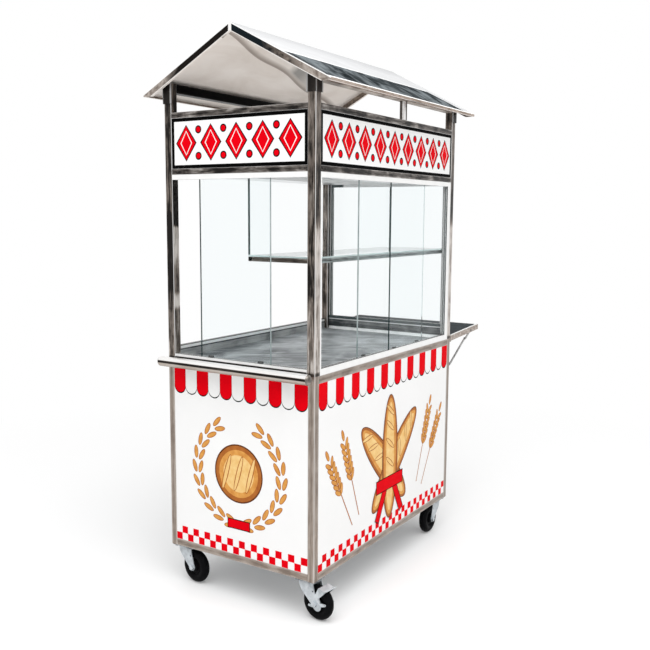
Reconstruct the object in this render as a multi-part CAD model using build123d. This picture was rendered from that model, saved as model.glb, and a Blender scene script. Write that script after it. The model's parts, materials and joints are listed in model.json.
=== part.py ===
"""Street sandwich cart: a stainless tube base on casters, a glazed cabinet, sign boards and a gable roof.

X runs along the cart, from the push handle to the folding side shelf. Y runs from the customers' long
side to the vendor's side, and Z is up from the floor. Sizes are in millimetres.
"""
import os
from math import atan2, cos, degrees, hypot, radians, sin, tan

from build123d import *

# Main sizes of the cart, over the outer faces of its posts
cart_length = 1000.0
cart_width = 600.0
caster_height = 135.0
base_height = 663.0
cabinet_height = 621.0
sign_height = 162.0
roof_clearance = 95.0

# Tubes and sheets
base_tube = 25.0
post_tube = 30.0
sign_tube = 20.0
shelf_tube = 15.0
tube_wall = 1.2
tube_corner = 2.5
sheet = 1.2
panel_sheet = 3.0
panel_setback = 1.0
board_sheet = 4.0
board_setback = 2.0

# Roof
roof_pitch = 27.7
eave_overhang = 67.0
gable_overhang = 26.0
gable_lip = 26.0
eave_lip = 8.0
lip_return = 10.0
strut_place = 75.0
bracket_sheet = 3.0
bracket_leg = 37.0
bracket_drop = 66.0

# Glass and its channels
glass_sheet = 5.0
divider_sheet = 8.0
track_width = 20.0
track_wall = 2.0
lower_track_height = 20.0
upper_track_height = 16.0
pane_floor_gap = 0.3
pane_head_gap = 3.0
pane_stop_gap = 4.0
handle_jamb_depth = 6.0
shelf_jamb_depth = 26.0
front_pane_overlap = 30.0
front_inner_opening = 246.0
end_pane_overlap = 38.0
end_outer_opening = 136.0
end_inner_opening = 142.0
fixed_channel = 12.0
fixed_channel_wall = 2.0

# Counter, its upstands and the display shelf
vendor_upstand = 30.0
vendor_trim = 12.0
shelf_upstand = 45.0
upstand_width = 16.0
display_shelf_height = 364.0
display_shelf_depth = 251.0
display_shelf_front = 24.0

# Push handle
handle_diameter = 34.0
handle_wall = 2.0
handle_standoff = 37.0
handle_length = 620.0
handle_drop = 3.0
handle_cap_dome = 10.0
handle_stub_diameter = 16.0
handle_stub_drop = 7.0
handle_stub_place = 200.0

# Folding side shelf with its hinge and its two folding stays
side_shelf_reach = 288.0
side_shelf_start = 7.0
side_shelf_rim = 22.0
side_shelf_tilt = 3.5
side_hinge_offset = 7.0
side_hinge_drop = 16.0
side_hinge_rise = 4.0
knuckle_diameter = 9.0
knuckle_count = 9
hinge_pin_diameter = 4.0
stay_anchor_drop = 110.0
stay_pivot_reach = 210.0
stay_pivot_rise = 12.0
stay_width = 9.0
stay_sheet = 3.0
stay_gap = 0.6
stay_pin_diameter = 4.0
stay_head_diameter = 8.0
stay_head = 1.5
stay_ear_diameter = 13.5
stay_ear_height = 22.0
stay_foot_height = 34.0

# Storage cupboard in the base
storage_shelf_rise = 300.0
cleat_size = 20.0
cleat_sheet = 3.0
door_gap = 3.0
door_depth = 18.0
door_barrel_diameter = 10.0
door_barrel_length = 25.0
door_barrel_offset = 6.0
door_barrel_inset = 3.0
door_barrel_margin = 70.0
door_barrel_gap = 0.5
door_pin_diameter = 6.0
door_leaf_reach = 25.0
knob_diameter = 28.0
knob_neck_diameter = 11.0
knob_depth = 24.0
knob_head = 10.0
knob_taper = 3.0
knob_inset = 36.0

# Casters: wheel, fork, top plate and bolts
caster_setback = 3.0
caster_trail = 38.0
wheel_diameter = 116.0
wheel_width = 32.0
tyre_round = 10.0
tyre_side = 5.0
ring_width = 25.0
ring_depth = 7.0
web_width = 18.0
web_slant = 2.0
hub_width = 38.0
hub_diameter = 36.0
axle_diameter = 10.0
axle_head = 6.0
axle_head_diameter = 17.0
fork_gap = 40.0
fork_sheet = 2.5
fork_wheel_gap = 5.0
crown_front = 29.0
crown_back = 31.0
fork_knee_reach = 15.0
fork_knee_drop = 33.0
fork_bow = 2.5
fork_boss_diameter = 24.0
fork_hole_diameter = 5.5
fork_hole_reach = 30.0
fork_hole_drop = 26.0
caster_plate_sheet = 3.0
caster_plate_margin = 10.0
caster_pad_size = 80.0
caster_pad_sheet = 4.0
caster_bolt_spacing = 60.0
caster_bolt_diameter = 8.0
caster_bolt_head = 5.3
caster_bolt_head_diameter = 13.0
race_diameter = 48.0
cup_diameter = 58.0
cup_height = 4.0
king_pin_diameter = 12.0
king_pin_head_diameter = 22.0
king_pin_head = 4.5

# Foot brake: places are measured from the axle, outwards along the trail and upwards
brake_pivot_reach = 10.0
brake_pivot_rise = 26.0
brake_pin_diameter = 6.0
brake_boss_diameter = 16.0
brake_lobe_diameter = 34.0
brake_lobe_reach = 10.0
brake_lobe_drop = 4.0
brake_hook_diameter = 8.0
brake_hook_hole = 4.0
front_hook_reach = 22.0
front_hook_drop = 9.0
back_hook_reach = 42.0
back_hook_rise = 7.0
brake_arm_sheet = 2.0
pedal_sheet = 2.5
pedal_gap = 2.2
pedal_tilt = 18.0
pedal_length = 26.0
pedal_lip = 10.0
pedal_lip_tilt = 40.0

# Clearances
pin_fit = 0.05
running_gap = 0.3
side_gap = 0.5
bolt_fit = 0.2

# Rest angle of each caster's trail about Z, and which casters carry a brake
casters = {
    "handle_front": (-1, -1, -97.0, True),
    "handle_back": (-1, 1, -97.0, False),
    "shelf_front": (1, -1, 180.0, False),
    "shelf_back": (1, 1, 165.0, True),
}

# Levels and places that follow from the sizes above
half_length = cart_length / 2
half_width = cart_width / 2
base_bottom = caster_height
base_top = base_bottom + base_height
counter = base_top + sheet
lower_rail = base_top + cabinet_height
board_bottom = lower_rail + sign_tube
upper_rail = board_bottom + sign_height
sign_top = upper_rail + sign_tube
post_top = sign_top + roof_clearance
roof_slope = tan(radians(roof_pitch))
roof_sheet_rise = sheet / cos(radians(roof_pitch))
ridge = post_top + half_width * roof_slope + roof_sheet_rise
eave_reach = half_width + eave_overhang
eave = ridge - eave_reach * roof_slope
side_hinge_x = half_length + side_hinge_offset
side_hinge_z = base_top - side_hinge_drop
half_plate = caster_bolt_spacing / 2 + caster_plate_margin
caster_inset = half_plate + caster_setback
handle_x = -half_length - handle_standoff
handle_z = base_top - handle_drop

# The origin lies on the floor under the middle of the whole outline, from the handle to the open side shelf
handle_end_x = handle_x - handle_diameter / 2
shelf_end_x = (side_hinge_x + side_shelf_reach * cos(radians(side_shelf_tilt))
               - side_hinge_rise * sin(radians(side_shelf_tilt)))
centre_shift = -(handle_end_x + shelf_end_x) / 2


def block(low, high):
    """Box between two opposite corners."""
    size = [b - a for a, b in zip(low, high)]
    return Pos(*low) * Box(*size, align=(Align.MIN, Align.MIN, Align.MIN))


def square_tube(width, start, end):
    """Square tube with rounded outer corners, along the line between two centre points."""
    run = Vector(*end) - Vector(*start)
    inside = width - 2 * tube_wall
    section = RectangleRounded(width, width, tube_corner) - Rectangle(inside, inside)
    return extrude(Plane(origin=start, z_dir=run) * section, amount=run.length)


def rod(diameter, start, end):
    """Round bar between two points."""
    run = Vector(*end) - Vector(*start)
    return extrude(Plane(origin=start, z_dir=run) * Circle(diameter / 2), amount=run.length)


def along_x(points, start, end):
    """Solid with a closed outline of (y, z) points, running along X."""
    face = make_face(Polyline(*points, close=True))
    return extrude(Plane.YZ.offset(start) * face, amount=end - start)


def frame_ring(tube, level, inset):
    """Four tubes between the corner posts, all at one level, with their outer faces on the cart's faces."""
    reach_x, reach_y = half_length - inset, half_width - inset
    place_x, place_y = half_length - tube / 2, half_width - tube / 2
    height = level + tube / 2
    tubes = []
    for side in (-1, 1):
        tubes.append(square_tube(tube, (-reach_x, side * place_y, height), (reach_x, side * place_y, height)))
        tubes.append(square_tube(tube, (side * place_x, -reach_y, height), (side * place_x, reach_y, height)))
    return tubes


def corner_posts(tube, bottom, top):
    """Four upright tubes whose outer faces lie on the cart's faces."""
    place_x, place_y = half_length - tube / 2, half_width - tube / 2
    return [square_tube(tube, (a * place_x, b * place_y, bottom), (a * place_x, b * place_y, top))
            for a in (-1, 1) for b in (-1, 1)]


def without_corners(flat, cut, level):
    """Flat sheet at a level, with a square cut out of it at each corner of the cart for the posts."""
    for a in (-1, 1):
        for b in (-1, 1):
            flat -= Pos(a * half_length, b * half_width, level) * Box(2 * cut, 2 * cut, 4 * sheet)
    return flat


def save(name, *solids):
    """Write one node, with every solid moved so that the origin is under the middle of the outline."""
    placed = [Pos(centre_shift, 0, 0) * solid for group in solids for solid in group.solids()]
    export_step(Compound(placed) if len(placed) > 1 else placed[0], f"parts/{name}.step")


def save_all(name, solids):
    save(name, *solids)


def make_base():
    """Tube frame of the base, its three skins, its floor, its shelf and the counter sheet."""
    save_all("base_posts", corner_posts(base_tube, base_bottom, base_top))
    save_all("base_bottom_rails", frame_ring(base_tube, base_bottom, base_tube))
    save_all("base_top_rails", frame_ring(base_tube, base_top - base_tube, base_tube))

    floor = base_bottom + base_tube
    ceiling = base_top - base_tube
    inner_x, inner_y = half_length - base_tube, half_width - base_tube
    skin_out_x, skin_out_y = half_length - panel_setback, half_width - panel_setback
    skin_in_x, skin_in_y = skin_out_x - panel_sheet, skin_out_y - panel_sheet
    save_all("base_panels", [
        block((-skin_out_x, -inner_y, floor), (-skin_in_x, inner_y, ceiling)),
        block((skin_in_x, -inner_y, floor), (skin_out_x, inner_y, ceiling)),
        block((-inner_x, -skin_out_y, floor), (inner_x, -skin_in_y, ceiling)),
    ])

    floor_sheet = block((-skin_in_x, -skin_in_y, floor), (skin_in_x, half_width - door_depth, floor + sheet))
    save("base_floor", without_corners(floor_sheet, base_tube, floor))

    # Two angle cleats carry the storage shelf, whose long edges are folded down
    shelf_level = floor + storage_shelf_rise
    shelf_back = inner_y - door_depth
    cleats = []
    for side in (-1, 1):
        wall = side * skin_in_x
        upright = block((min(wall, wall - side * cleat_sheet), -inner_y, shelf_level - cleat_size),
                        (max(wall, wall - side * cleat_sheet), shelf_back, shelf_level))
        ledge = block((min(wall, wall - side * cleat_size), -inner_y, shelf_level - cleat_sheet),
                      (max(wall, wall - side * cleat_size), shelf_back, shelf_level))
        cleats.append(upright + ledge)
    save_all("shelf_cleats", cleats)
    half_shelf = skin_in_x - sheet
    fold_reach = skin_in_x - cleat_size - sheet
    shelf = block((-half_shelf, -inner_y, shelf_level), (half_shelf, shelf_back, shelf_level + sheet))
    for edge in (-inner_y, shelf_back - sheet):
        shelf += block((-fold_reach, edge, shelf_level - cleat_size), (fold_reach, edge + sheet, shelf_level))
    save("storage_shelf", shelf)

    # The counter sheet lies on the top rails, inside the tracks, the upstands and the posts
    inside_track, inside_upstand = track_width + side_gap, upstand_width + side_gap
    counter_sheet = block((-half_length + inside_track, -half_width + inside_track, base_top),
                          (half_length - inside_upstand, half_width - inside_upstand, counter))
    save("counter_top", without_corners(counter_sheet, post_tube + side_gap, base_top))


def make_upstands():
    """Folded strips that close the counter on the vendor's side and at the side shelf."""
    inner_x, inner_y = half_length - post_tube, half_width - post_tube

    def folded(low, high):
        inside_low = [low[0] + sheet, low[1] + sheet, low[2]]
        inside_high = [high[0] - sheet, high[1] - sheet, high[2] - sheet]
        return block(low, high) - block(inside_low, inside_high)

    vendor = folded((-inner_x, half_width - upstand_width, base_top),
                    (inner_x, half_width, base_top + vendor_upstand))
    end = folded((half_length - upstand_width, -inner_y, base_top),
                 (half_length, inner_y, base_top + shelf_upstand))
    save("counter_upstands", vendor, end)


def make_cabinet_frame():
    """Upper posts, sign rails, sign boards and the ceiling sheet."""
    save_all("upper_posts", corner_posts(post_tube, base_top, post_top))
    rails = frame_ring(sign_tube, lower_rail, post_tube) + frame_ring(sign_tube, upper_rail, post_tube)
    strut_y = half_width - sign_tube / 2
    beam_bottom = post_top - post_tube
    for side in (-1, 1):
        rails.append(square_tube(sign_tube, (strut_place, side * strut_y, sign_top),
                                 (strut_place, side * strut_y, beam_bottom)))
    save_all("sign_frame", rails)

    inner_x, inner_y = half_length - post_tube, half_width - post_tube
    boards = []
    for side in (-1, 1):
        face_x, face_y = side * (half_length - board_setback), side * (half_width - board_setback)
        back_x, back_y = face_x - side * board_sheet, face_y - side * board_sheet
        boards.append(block((min(face_x, back_x), -inner_y, board_bottom),
                            (max(face_x, back_x), inner_y, upper_rail)))
        boards.append(block((-inner_x, min(face_y, back_y), board_bottom),
                            (inner_x, max(face_y, back_y), upper_rail)))
    save_all("sign_boards", boards)

    reach_x, reach_y = half_length - track_width, half_width - track_width
    far_x = half_length - (upstand_width + fixed_channel) / 2
    ceiling = block((-reach_x, -reach_y, lower_rail - sheet), (far_x, half_width - sheet, lower_rail))
    save("ceiling_sheet", without_corners(ceiling, post_tube, lower_rail))


def make_roof():
    """Two folded roof sheets that meet at the ridge, the long beams and the corner brackets."""
    beam_x, beam_y = half_length - post_tube, half_width - post_tube / 2
    beam_z = post_top - post_tube / 2
    save_all("roof_beams", [square_tube(post_tube, (-beam_x, y, beam_z), (beam_x, y, beam_z))
                            for y in (-beam_y, beam_y)])

    end_x = half_length + gable_overhang
    lip_bottom = eave - eave_lip
    lip_meet = eave_reach - (gable_lip - eave_lip) / roof_slope

    def sheet_under(reach):
        return ridge - roof_sheet_rise - reach * roof_slope

    for name, side in (("roof_slope_front", -1), ("roof_slope_back", 1)):
        skin = along_x([(0, ridge), (side * eave_reach, eave), (side * eave_reach, lip_bottom),
                        (side * (eave_reach - lip_return), lip_bottom),
                        (side * (eave_reach - lip_return), lip_bottom + sheet),
                        (side * (eave_reach - sheet), lip_bottom + sheet),
                        (side * (eave_reach - sheet), sheet_under(eave_reach - sheet)),
                        (0, ridge - roof_sheet_rise)], -end_x, end_x)
        for end in (-1, 1):
            outer, inner, fold = end * end_x, end * (end_x - sheet), end * (end_x - lip_return)
            skin += along_x([(0, ridge), (side * eave_reach, eave), (side * eave_reach, lip_bottom),
                             (side * lip_meet, lip_bottom), (0, ridge - gable_lip)],
                            min(outer, inner), max(outer, inner))
            skin += along_x([(0, ridge - gable_lip), (side * lip_meet, lip_bottom),
                             (side * lip_meet, lip_bottom + roof_sheet_rise),
                             (0, ridge - gable_lip + roof_sheet_rise)], min(outer, fold), max(outer, fold))
        save(name, skin)

    # Angle straps hug the post corners and are trimmed to the underside of the roof sheets
    above = ridge + gable_lip
    over_roof = along_x([(0, sheet_under(0)), (eave_reach, sheet_under(eave_reach)), (eave_reach, above),
                         (-eave_reach, above), (-eave_reach, sheet_under(eave_reach))], -end_x, end_x)
    outer_x, outer_y = half_length + bracket_sheet, half_width + bracket_sheet
    brackets = []
    for a in (-1, 1):
        for b in (-1, 1):
            strap = Pos(a * (outer_x - bracket_leg / 2), b * (outer_y - bracket_leg / 2),
                        post_top - bracket_drop) * Box(bracket_leg, bracket_leg, 2 * bracket_drop,
                                                       align=(Align.CENTER, Align.CENTER, Align.MIN))
            inner = bracket_leg - bracket_sheet
            strap -= Pos(a * (half_length - inner), b * (half_width - inner),
                         post_top) * Box(2 * inner, 2 * inner, 4 * bracket_drop)
            brackets.append(strap - over_roof)
    save_all("roof_brackets", brackets)


def track_section(height):
    """Channel with two grooves, open upwards: width along the first axis, height along the second."""
    groove = (track_width - 3 * track_wall) / 2
    section = Pos(0, height / 2) * Rectangle(track_width, height)
    for side in (-1, 1):
        section -= Pos(side * (groove + track_wall) / 2, track_wall + height / 2) * Rectangle(groove, height)
    return section


def make_tracks():
    """Sliding tracks below and above the panes, and upright channels that the closed front panes enter."""
    reach_x, reach_y = half_length - post_tube, half_width - post_tube
    mid_x, mid_y = half_length - track_width / 2, half_width - track_width / 2

    def run_x(height, level, up):
        plane = Plane(origin=(-reach_x, -mid_y, level), x_dir=(0, up, 0), z_dir=(1, 0, 0))
        return extrude(plane * track_section(height), amount=2 * reach_x)

    def run_y(height, level, up):
        plane = Plane(origin=(-mid_x, reach_y, level), x_dir=(up, 0, 0), z_dir=(0, -1, 0))
        return extrude(plane * track_section(height), amount=2 * reach_y)

    save("lower_tracks", run_x(lower_track_height, base_top, 1), run_y(lower_track_height, base_top, 1))
    save("upper_tracks", run_x(upper_track_height, lower_rail, -1), run_y(upper_track_height, lower_rail, -1))

    bottom = base_top + lower_track_height
    rise = lower_rail - upper_track_height - bottom
    jambs = []
    for side, depth in ((-1, handle_jamb_depth), (1, shelf_jamb_depth)):
        plane = Plane(origin=(side * reach_x, -mid_y, bottom), x_dir=(0, side, 0), z_dir=(0, 0, 1))
        jambs.append(extrude(plane * track_section(depth), amount=rise))
    save_all("jamb_channels", jambs)


def make_panes():
    """Four sliding panes, placed as far open as the cart stands in use."""
    groove = (track_width - 3 * track_wall) / 2
    outer_line = track_wall + groove / 2
    inner_line = outer_line + track_wall + groove
    bottom = base_top + track_wall + pane_floor_gap
    top = lower_rail - track_wall - pane_head_gap

    front_half = half_length - post_tube - pane_stop_gap
    front_width = front_half + front_pane_overlap / 2
    end_half = half_width - post_tube - pane_stop_gap
    end_width = end_half + end_pane_overlap / 2

    def front_pane(line, start):
        middle = -half_width + line
        return block((start, middle - glass_sheet / 2, bottom),
                     (start + front_width, middle + glass_sheet / 2, top))

    def end_pane(line, start):
        middle = -half_length + line
        return block((middle - glass_sheet / 2, start, bottom),
                     (middle + glass_sheet / 2, start + end_width, top))

    save("front_pane_outer", front_pane(outer_line, front_half - front_width))
    save("front_pane_inner", front_pane(inner_line, -front_half + front_inner_opening))
    save("end_pane_outer", end_pane(outer_line, -end_half + end_outer_opening))
    save("end_pane_inner", end_pane(inner_line, -end_half + end_inner_opening))


def make_fixed_glass():
    """Fixed pane over the side shelf, the hanging divider, the display shelf and their channels."""
    inner_x, inner_y = half_length - post_tube, half_width - post_tube
    wall = fixed_channel_wall
    middle = half_length - upstand_width / 2
    sill = base_top + shelf_upstand
    low, high = sill + fixed_channel, lower_rail - fixed_channel

    def channel(width, glass):
        section = Pos(0, width / 2) * Rectangle(width, width)
        return section - Pos(0, wall + width / 2) * Rectangle(glass, width)

    channels = []
    for level, up in ((sill, 1), (lower_rail, -1)):
        plane = Plane(origin=(middle, up * inner_y, level), x_dir=(1, 0, 0), z_dir=(0, -up, 0))
        channels.append(extrude(plane * channel(fixed_channel, glass_sheet), amount=2 * inner_y))
    for side in (-1, 1):
        plane = Plane(origin=(middle, side * inner_y, low), x_dir=(-side, 0, 0), z_dir=(0, 0, 1))
        channels.append(extrude(plane * channel(fixed_channel, glass_sheet), amount=high - low))
    save("fixed_glass", block((middle - glass_sheet / 2, -inner_y + wall, sill + wall),
                              (middle + glass_sheet / 2, inner_y - wall, lower_rail - wall)))

    shelf_top = base_top + display_shelf_height
    shelf_front = -half_width + display_shelf_front
    shelf_back = shelf_front + display_shelf_depth
    frame_top = shelf_top - glass_sheet
    middle_z = frame_top - shelf_tube / 2
    frame = []
    for y in (shelf_front + shelf_tube / 2, shelf_back - shelf_tube / 2):
        frame.append(square_tube(shelf_tube, (-inner_x, y, middle_z), (inner_x, y, middle_z)))
    for side in (-1, 1):
        x = side * (inner_x - shelf_tube / 2)
        frame.append(square_tube(shelf_tube, (x, shelf_front + shelf_tube, middle_z),
                                 (x, shelf_back - shelf_tube, middle_z)))
    save_all("display_shelf_frame", frame)
    divider_front = shelf_back - divider_sheet
    save("display_shelf_glass", block((-inner_x, shelf_front, frame_top),
                                      (inner_x, divider_front, shelf_top)))

    # The divider stands on the shelf's inner tube, with its head in a channel under the ceiling
    head = lower_rail - sheet
    divider_channel = divider_sheet + 2 * wall
    save("divider_glass", block((-inner_x, divider_front, frame_top), (inner_x, shelf_back, head - wall)))
    plane = Plane(origin=(-inner_x, shelf_back - divider_sheet / 2, head), x_dir=(0, -1, 0), z_dir=(1, 0, 0))
    channels.append(extrude(plane * channel(divider_channel, divider_sheet), amount=2 * inner_x))

    # Bright edge trim along the vendor's upstand
    trim_bottom = base_top + vendor_upstand
    channels.append(block((-inner_x, half_width - upstand_width, trim_bottom),
                          (inner_x, half_width, trim_bottom + vendor_trim)))
    save_all("glazing_channels", channels)


def make_handle():
    """Round push handle with domed end caps, on two short stubs."""
    half = handle_length / 2 - handle_cap_dome
    bore = handle_diameter - 2 * handle_wall
    whole = rod(handle_diameter, (handle_x, -half, handle_z), (handle_x, half, handle_z))
    save("handle_tube", whole - rod(bore, (handle_x, -half, handle_z), (handle_x, half, handle_z)))
    rim = handle_diameter / 2
    curve = (rim ** 2 + handle_cap_dome ** 2) / (2 * handle_cap_dome)
    start = degrees(atan2(curve - handle_cap_dome, rim))
    arc = CenterArc((0, handle_cap_dome - curve), curve, start, 90 - start)
    outline = make_face([Line((0, 0), (rim, 0)), arc, Line((0, handle_cap_dome), (0, 0))])
    dome = revolve(outline, axis=Axis.Y)
    save_all("handle_caps", [Pos(handle_x, half, handle_z) * dome,
                             Pos(handle_x, -half, handle_z) * Rot(0, 0, 180) * dome])
    stub_z = handle_z - handle_stub_drop
    stubs = [rod(handle_stub_diameter, (-half_length, side * handle_stub_place, stub_z),
                 (handle_x, side * handle_stub_place, stub_z)) - whole for side in (-1, 1)]
    save_all("handle_brackets", stubs)


def make_side_shelf():
    """Folding shelf: a sheet with folded rims, its barrel hinge and two folding stays."""
    rim_bottom, rim_top = side_hinge_rise, side_hinge_rise + side_shelf_rim
    rim_side = half_width
    span = cart_width / knuckle_count
    radius = knuckle_diameter / 2
    leaf_line = radius + side_gap
    hinge = Pos(side_hinge_x, 0, side_hinge_z)
    tilt = hinge * Rot(0, -side_shelf_tilt, 0)

    # The shelf is drawn level about its hinge line, then tilted to its propped angle
    shelf = block((side_shelf_start, -rim_side, rim_bottom), (side_shelf_reach, rim_side, rim_top))
    shelf -= block((side_shelf_start + sheet, -rim_side + sheet, rim_bottom),
                   (side_shelf_reach - sheet, rim_side - sheet, rim_top - sheet))
    shelf += block((leaf_line, -rim_side + sheet, -side_gap),
                   (side_shelf_start, rim_side - sheet, rim_top - sheet))
    fixed = block((-side_hinge_offset, -rim_side + sheet, side_hinge_drop - base_tube),
                  (-leaf_line, rim_side - sheet, side_hinge_drop))
    bore = rod(hinge_pin_diameter + 2 * pin_fit, (0, -half_width, 0), (0, half_width, 0))
    pin_ends = half_width - span - sheet
    for number in range(1, knuckle_count - 1):
        low = -half_width + number * span + side_gap / 2
        high = low + span - side_gap
        barrel = rod(knuckle_diameter, (0, low, 0), (0, high, 0))
        if number % 2:
            fixed += barrel + block((-leaf_line, low, -hinge_pin_diameter / 2),
                                    (0, high, hinge_pin_diameter / 2))
        else:
            shelf += barrel + block((0, low, -side_gap), (leaf_line, high, hinge_pin_diameter / 2))
    fixed -= rod(hinge_pin_diameter, (0, -half_width, 0), (0, half_width, 0))
    shelf -= bore
    pivot = (stay_pivot_reach, stay_pivot_rise)
    for side in (-1, 1):
        shelf -= rod(stay_pin_diameter + 2 * pin_fit, (pivot[0], side * rim_side, pivot[1]),
                     (pivot[0], side * (rim_side - sheet), pivot[1]))
    save("side_shelf", tilt * shelf)
    save("shelf_hinge_leaf", hinge * fixed)
    save("shelf_hinge_pin", hinge * rod(hinge_pin_diameter, (0, -pin_ends, 0), (0, pin_ends, 0)))

    # Stay links: straight in line when propped, and folded flat behind the shelf when it hangs
    turn = radians(side_shelf_tilt)
    pivot_x = side_hinge_x + pivot[0] * cos(turn) - pivot[1] * sin(turn)
    pivot_z = side_hinge_z + pivot[0] * sin(turn) + pivot[1] * cos(turn)
    anchor_x = side_hinge_x + stay_pivot_rise
    anchor_z = base_top - stay_anchor_drop
    open_span = hypot(pivot_x - anchor_x, pivot_z - anchor_z)
    folded_span = anchor_z - (side_hinge_z - stay_pivot_reach)
    lower_length = (open_span + folded_span) / 2
    upper_length = (open_span - folded_span) / 2
    lean = degrees(atan2(pivot_z - anchor_z, pivot_x - anchor_x))
    upper_face = rim_side - sheet - stay_gap
    lower_face = upper_face - stay_sheet - stay_gap
    ear_face = lower_face - stay_sheet - stay_gap

    def link(length, face):
        bar = make_hull((Circle(stay_width / 2) + Pos(length, 0) * Circle(stay_width / 2)).edges())
        return extrude(Plane.XZ.offset(face - stay_sheet) * bar, amount=stay_sheet)

    lower_links, upper_links, brackets = [], [], []
    for side in (-1, 1):
        # Drawn on the customers' side, then mirrored for the vendor's side
        lower = link(lower_length, lower_face)
        lower += rod(stay_pin_diameter, (0, -lower_face + stay_sheet, 0),
                     (0, -ear_face + stay_sheet + stay_gap, 0))
        lower += rod(stay_head_diameter, (0, -ear_face + stay_sheet + stay_gap, 0),
                     (0, -ear_face + stay_sheet + stay_gap + stay_head, 0))
        lower += rod(stay_head_diameter, (lower_length, -lower_face + stay_sheet, 0),
                     (lower_length, -lower_face + stay_sheet + stay_head, 0))
        lower = Pos(anchor_x, 0, anchor_z) * Rot(0, -lean, 0) * lower
        upper = link(upper_length, upper_face)
        upper += rod(stay_pin_diameter, (0, -upper_face, 0), (0, -rim_side - stay_gap, 0))
        upper += rod(stay_head_diameter, (0, -rim_side - stay_gap, 0),
                     (0, -rim_side - stay_gap - stay_head, 0))
        upper = Pos(pivot_x, 0, pivot_z) * Rot(0, 180 - lean, 0) * upper
        ear_back = Pos(half_length + sheet, anchor_z) * Rectangle(2 * sheet, stay_ear_height)
        ear = make_hull((Pos(anchor_x, anchor_z) * Circle(stay_ear_diameter / 2) + ear_back).edges())
        ear = extrude(Plane.XZ.offset(ear_face - stay_sheet) * ear, amount=stay_sheet)
        foot = block((half_length, -rim_side + sheet, anchor_z - stay_foot_height / 2),
                     (half_length + sheet, -rim_side + base_tube, anchor_z + stay_foot_height / 2))
        ear = ear + foot - rod(stay_pin_diameter + 2 * pin_fit, (anchor_x, -ear_face - sheet, anchor_z),
                               (anchor_x, -ear_face + stay_sheet + sheet, anchor_z))
        for group, piece in ((lower_links, lower), (upper_links, upper), (brackets, ear)):
            group.append(piece if side < 0 else mirror(piece, Plane.XZ))
    save_all("stay_lower_links", lower_links)
    save_all("stay_upper_links", upper_links)
    save_all("stay_brackets", brackets)


def make_doors():
    """Two sheet doors on the vendor's side, on weld-on barrel hinges, with turned knobs."""
    edge = half_length - base_tube - door_gap
    bottom = base_bottom + base_tube + door_gap
    top = base_top - base_tube - door_gap
    axis_x = half_length - base_tube + door_barrel_inset
    axis_y = half_width + door_barrel_offset
    radius = door_barrel_diameter / 2
    leaf_y = axis_y - radius
    levels = (bottom + door_barrel_margin, top - door_barrel_margin - 2 * door_barrel_length)
    upper_half = door_barrel_length + door_barrel_gap
    fixed = []
    for name, side in (("left", -1), ("right", 1)):
        inside = door_gap / 2
        low, high = sorted((side * edge, side * inside))
        door = block((low, half_width - door_depth, bottom), (high, half_width, top))
        door -= block((low + sheet, half_width - door_depth, bottom + sheet),
                      (high - sheet, half_width - sheet, top - sheet))
        for level in levels:
            x = side * axis_x
            barrel = rod(door_barrel_diameter, (x, axis_y, level), (x, axis_y, level + door_barrel_length))
            foot_low, foot_high = sorted((x, side * (half_length - base_tube / 2)))
            barrel += block((foot_low, half_width, level),
                            (foot_high, leaf_y + sheet, level + door_barrel_length))
            pin_top = level + 2 * door_barrel_length - sheet
            fixed.append(barrel + rod(door_pin_diameter, (x, axis_y, level), (x, axis_y, pin_top)))

            swing = rod(door_barrel_diameter, (x, axis_y, level + upper_half),
                        (x, axis_y, level + upper_half + door_barrel_length))
            leaf_low, leaf_high = sorted((x, side * (edge - door_leaf_reach)))
            swing += block((leaf_low, leaf_y, level + upper_half),
                           (leaf_high, leaf_y + sheet, level + upper_half + door_barrel_length))
            pad_low, pad_high = sorted((side * edge, side * (edge - door_leaf_reach)))
            swing += block((pad_low, half_width, level + upper_half),
                           (pad_high, leaf_y, level + upper_half + door_barrel_length))
            swing -= rod(door_pin_diameter + 2 * pin_fit, (x, axis_y, level), (x, axis_y, pin_top + sheet))
            door += swing
        save(f"door_{name}", door)

        neck, head = knob_neck_diameter / 2, knob_diameter / 2
        profile = make_face(Polyline(
            (0, 0), (neck + knob_taper, 0), (neck, knob_taper), (neck, knob_depth - knob_head - knob_taper),
            (head, knob_depth - knob_head), (head, knob_depth - knob_taper), (head - knob_taper, knob_depth),
            (0, knob_depth), close=True))
        knob = revolve(profile, axis=Axis.Y)
        save(f"door_{name}_knob", Pos(side * knob_inset, half_width, (bottom + top) / 2) * knob)
    save_all("door_hinge_barrels", fixed)


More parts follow.
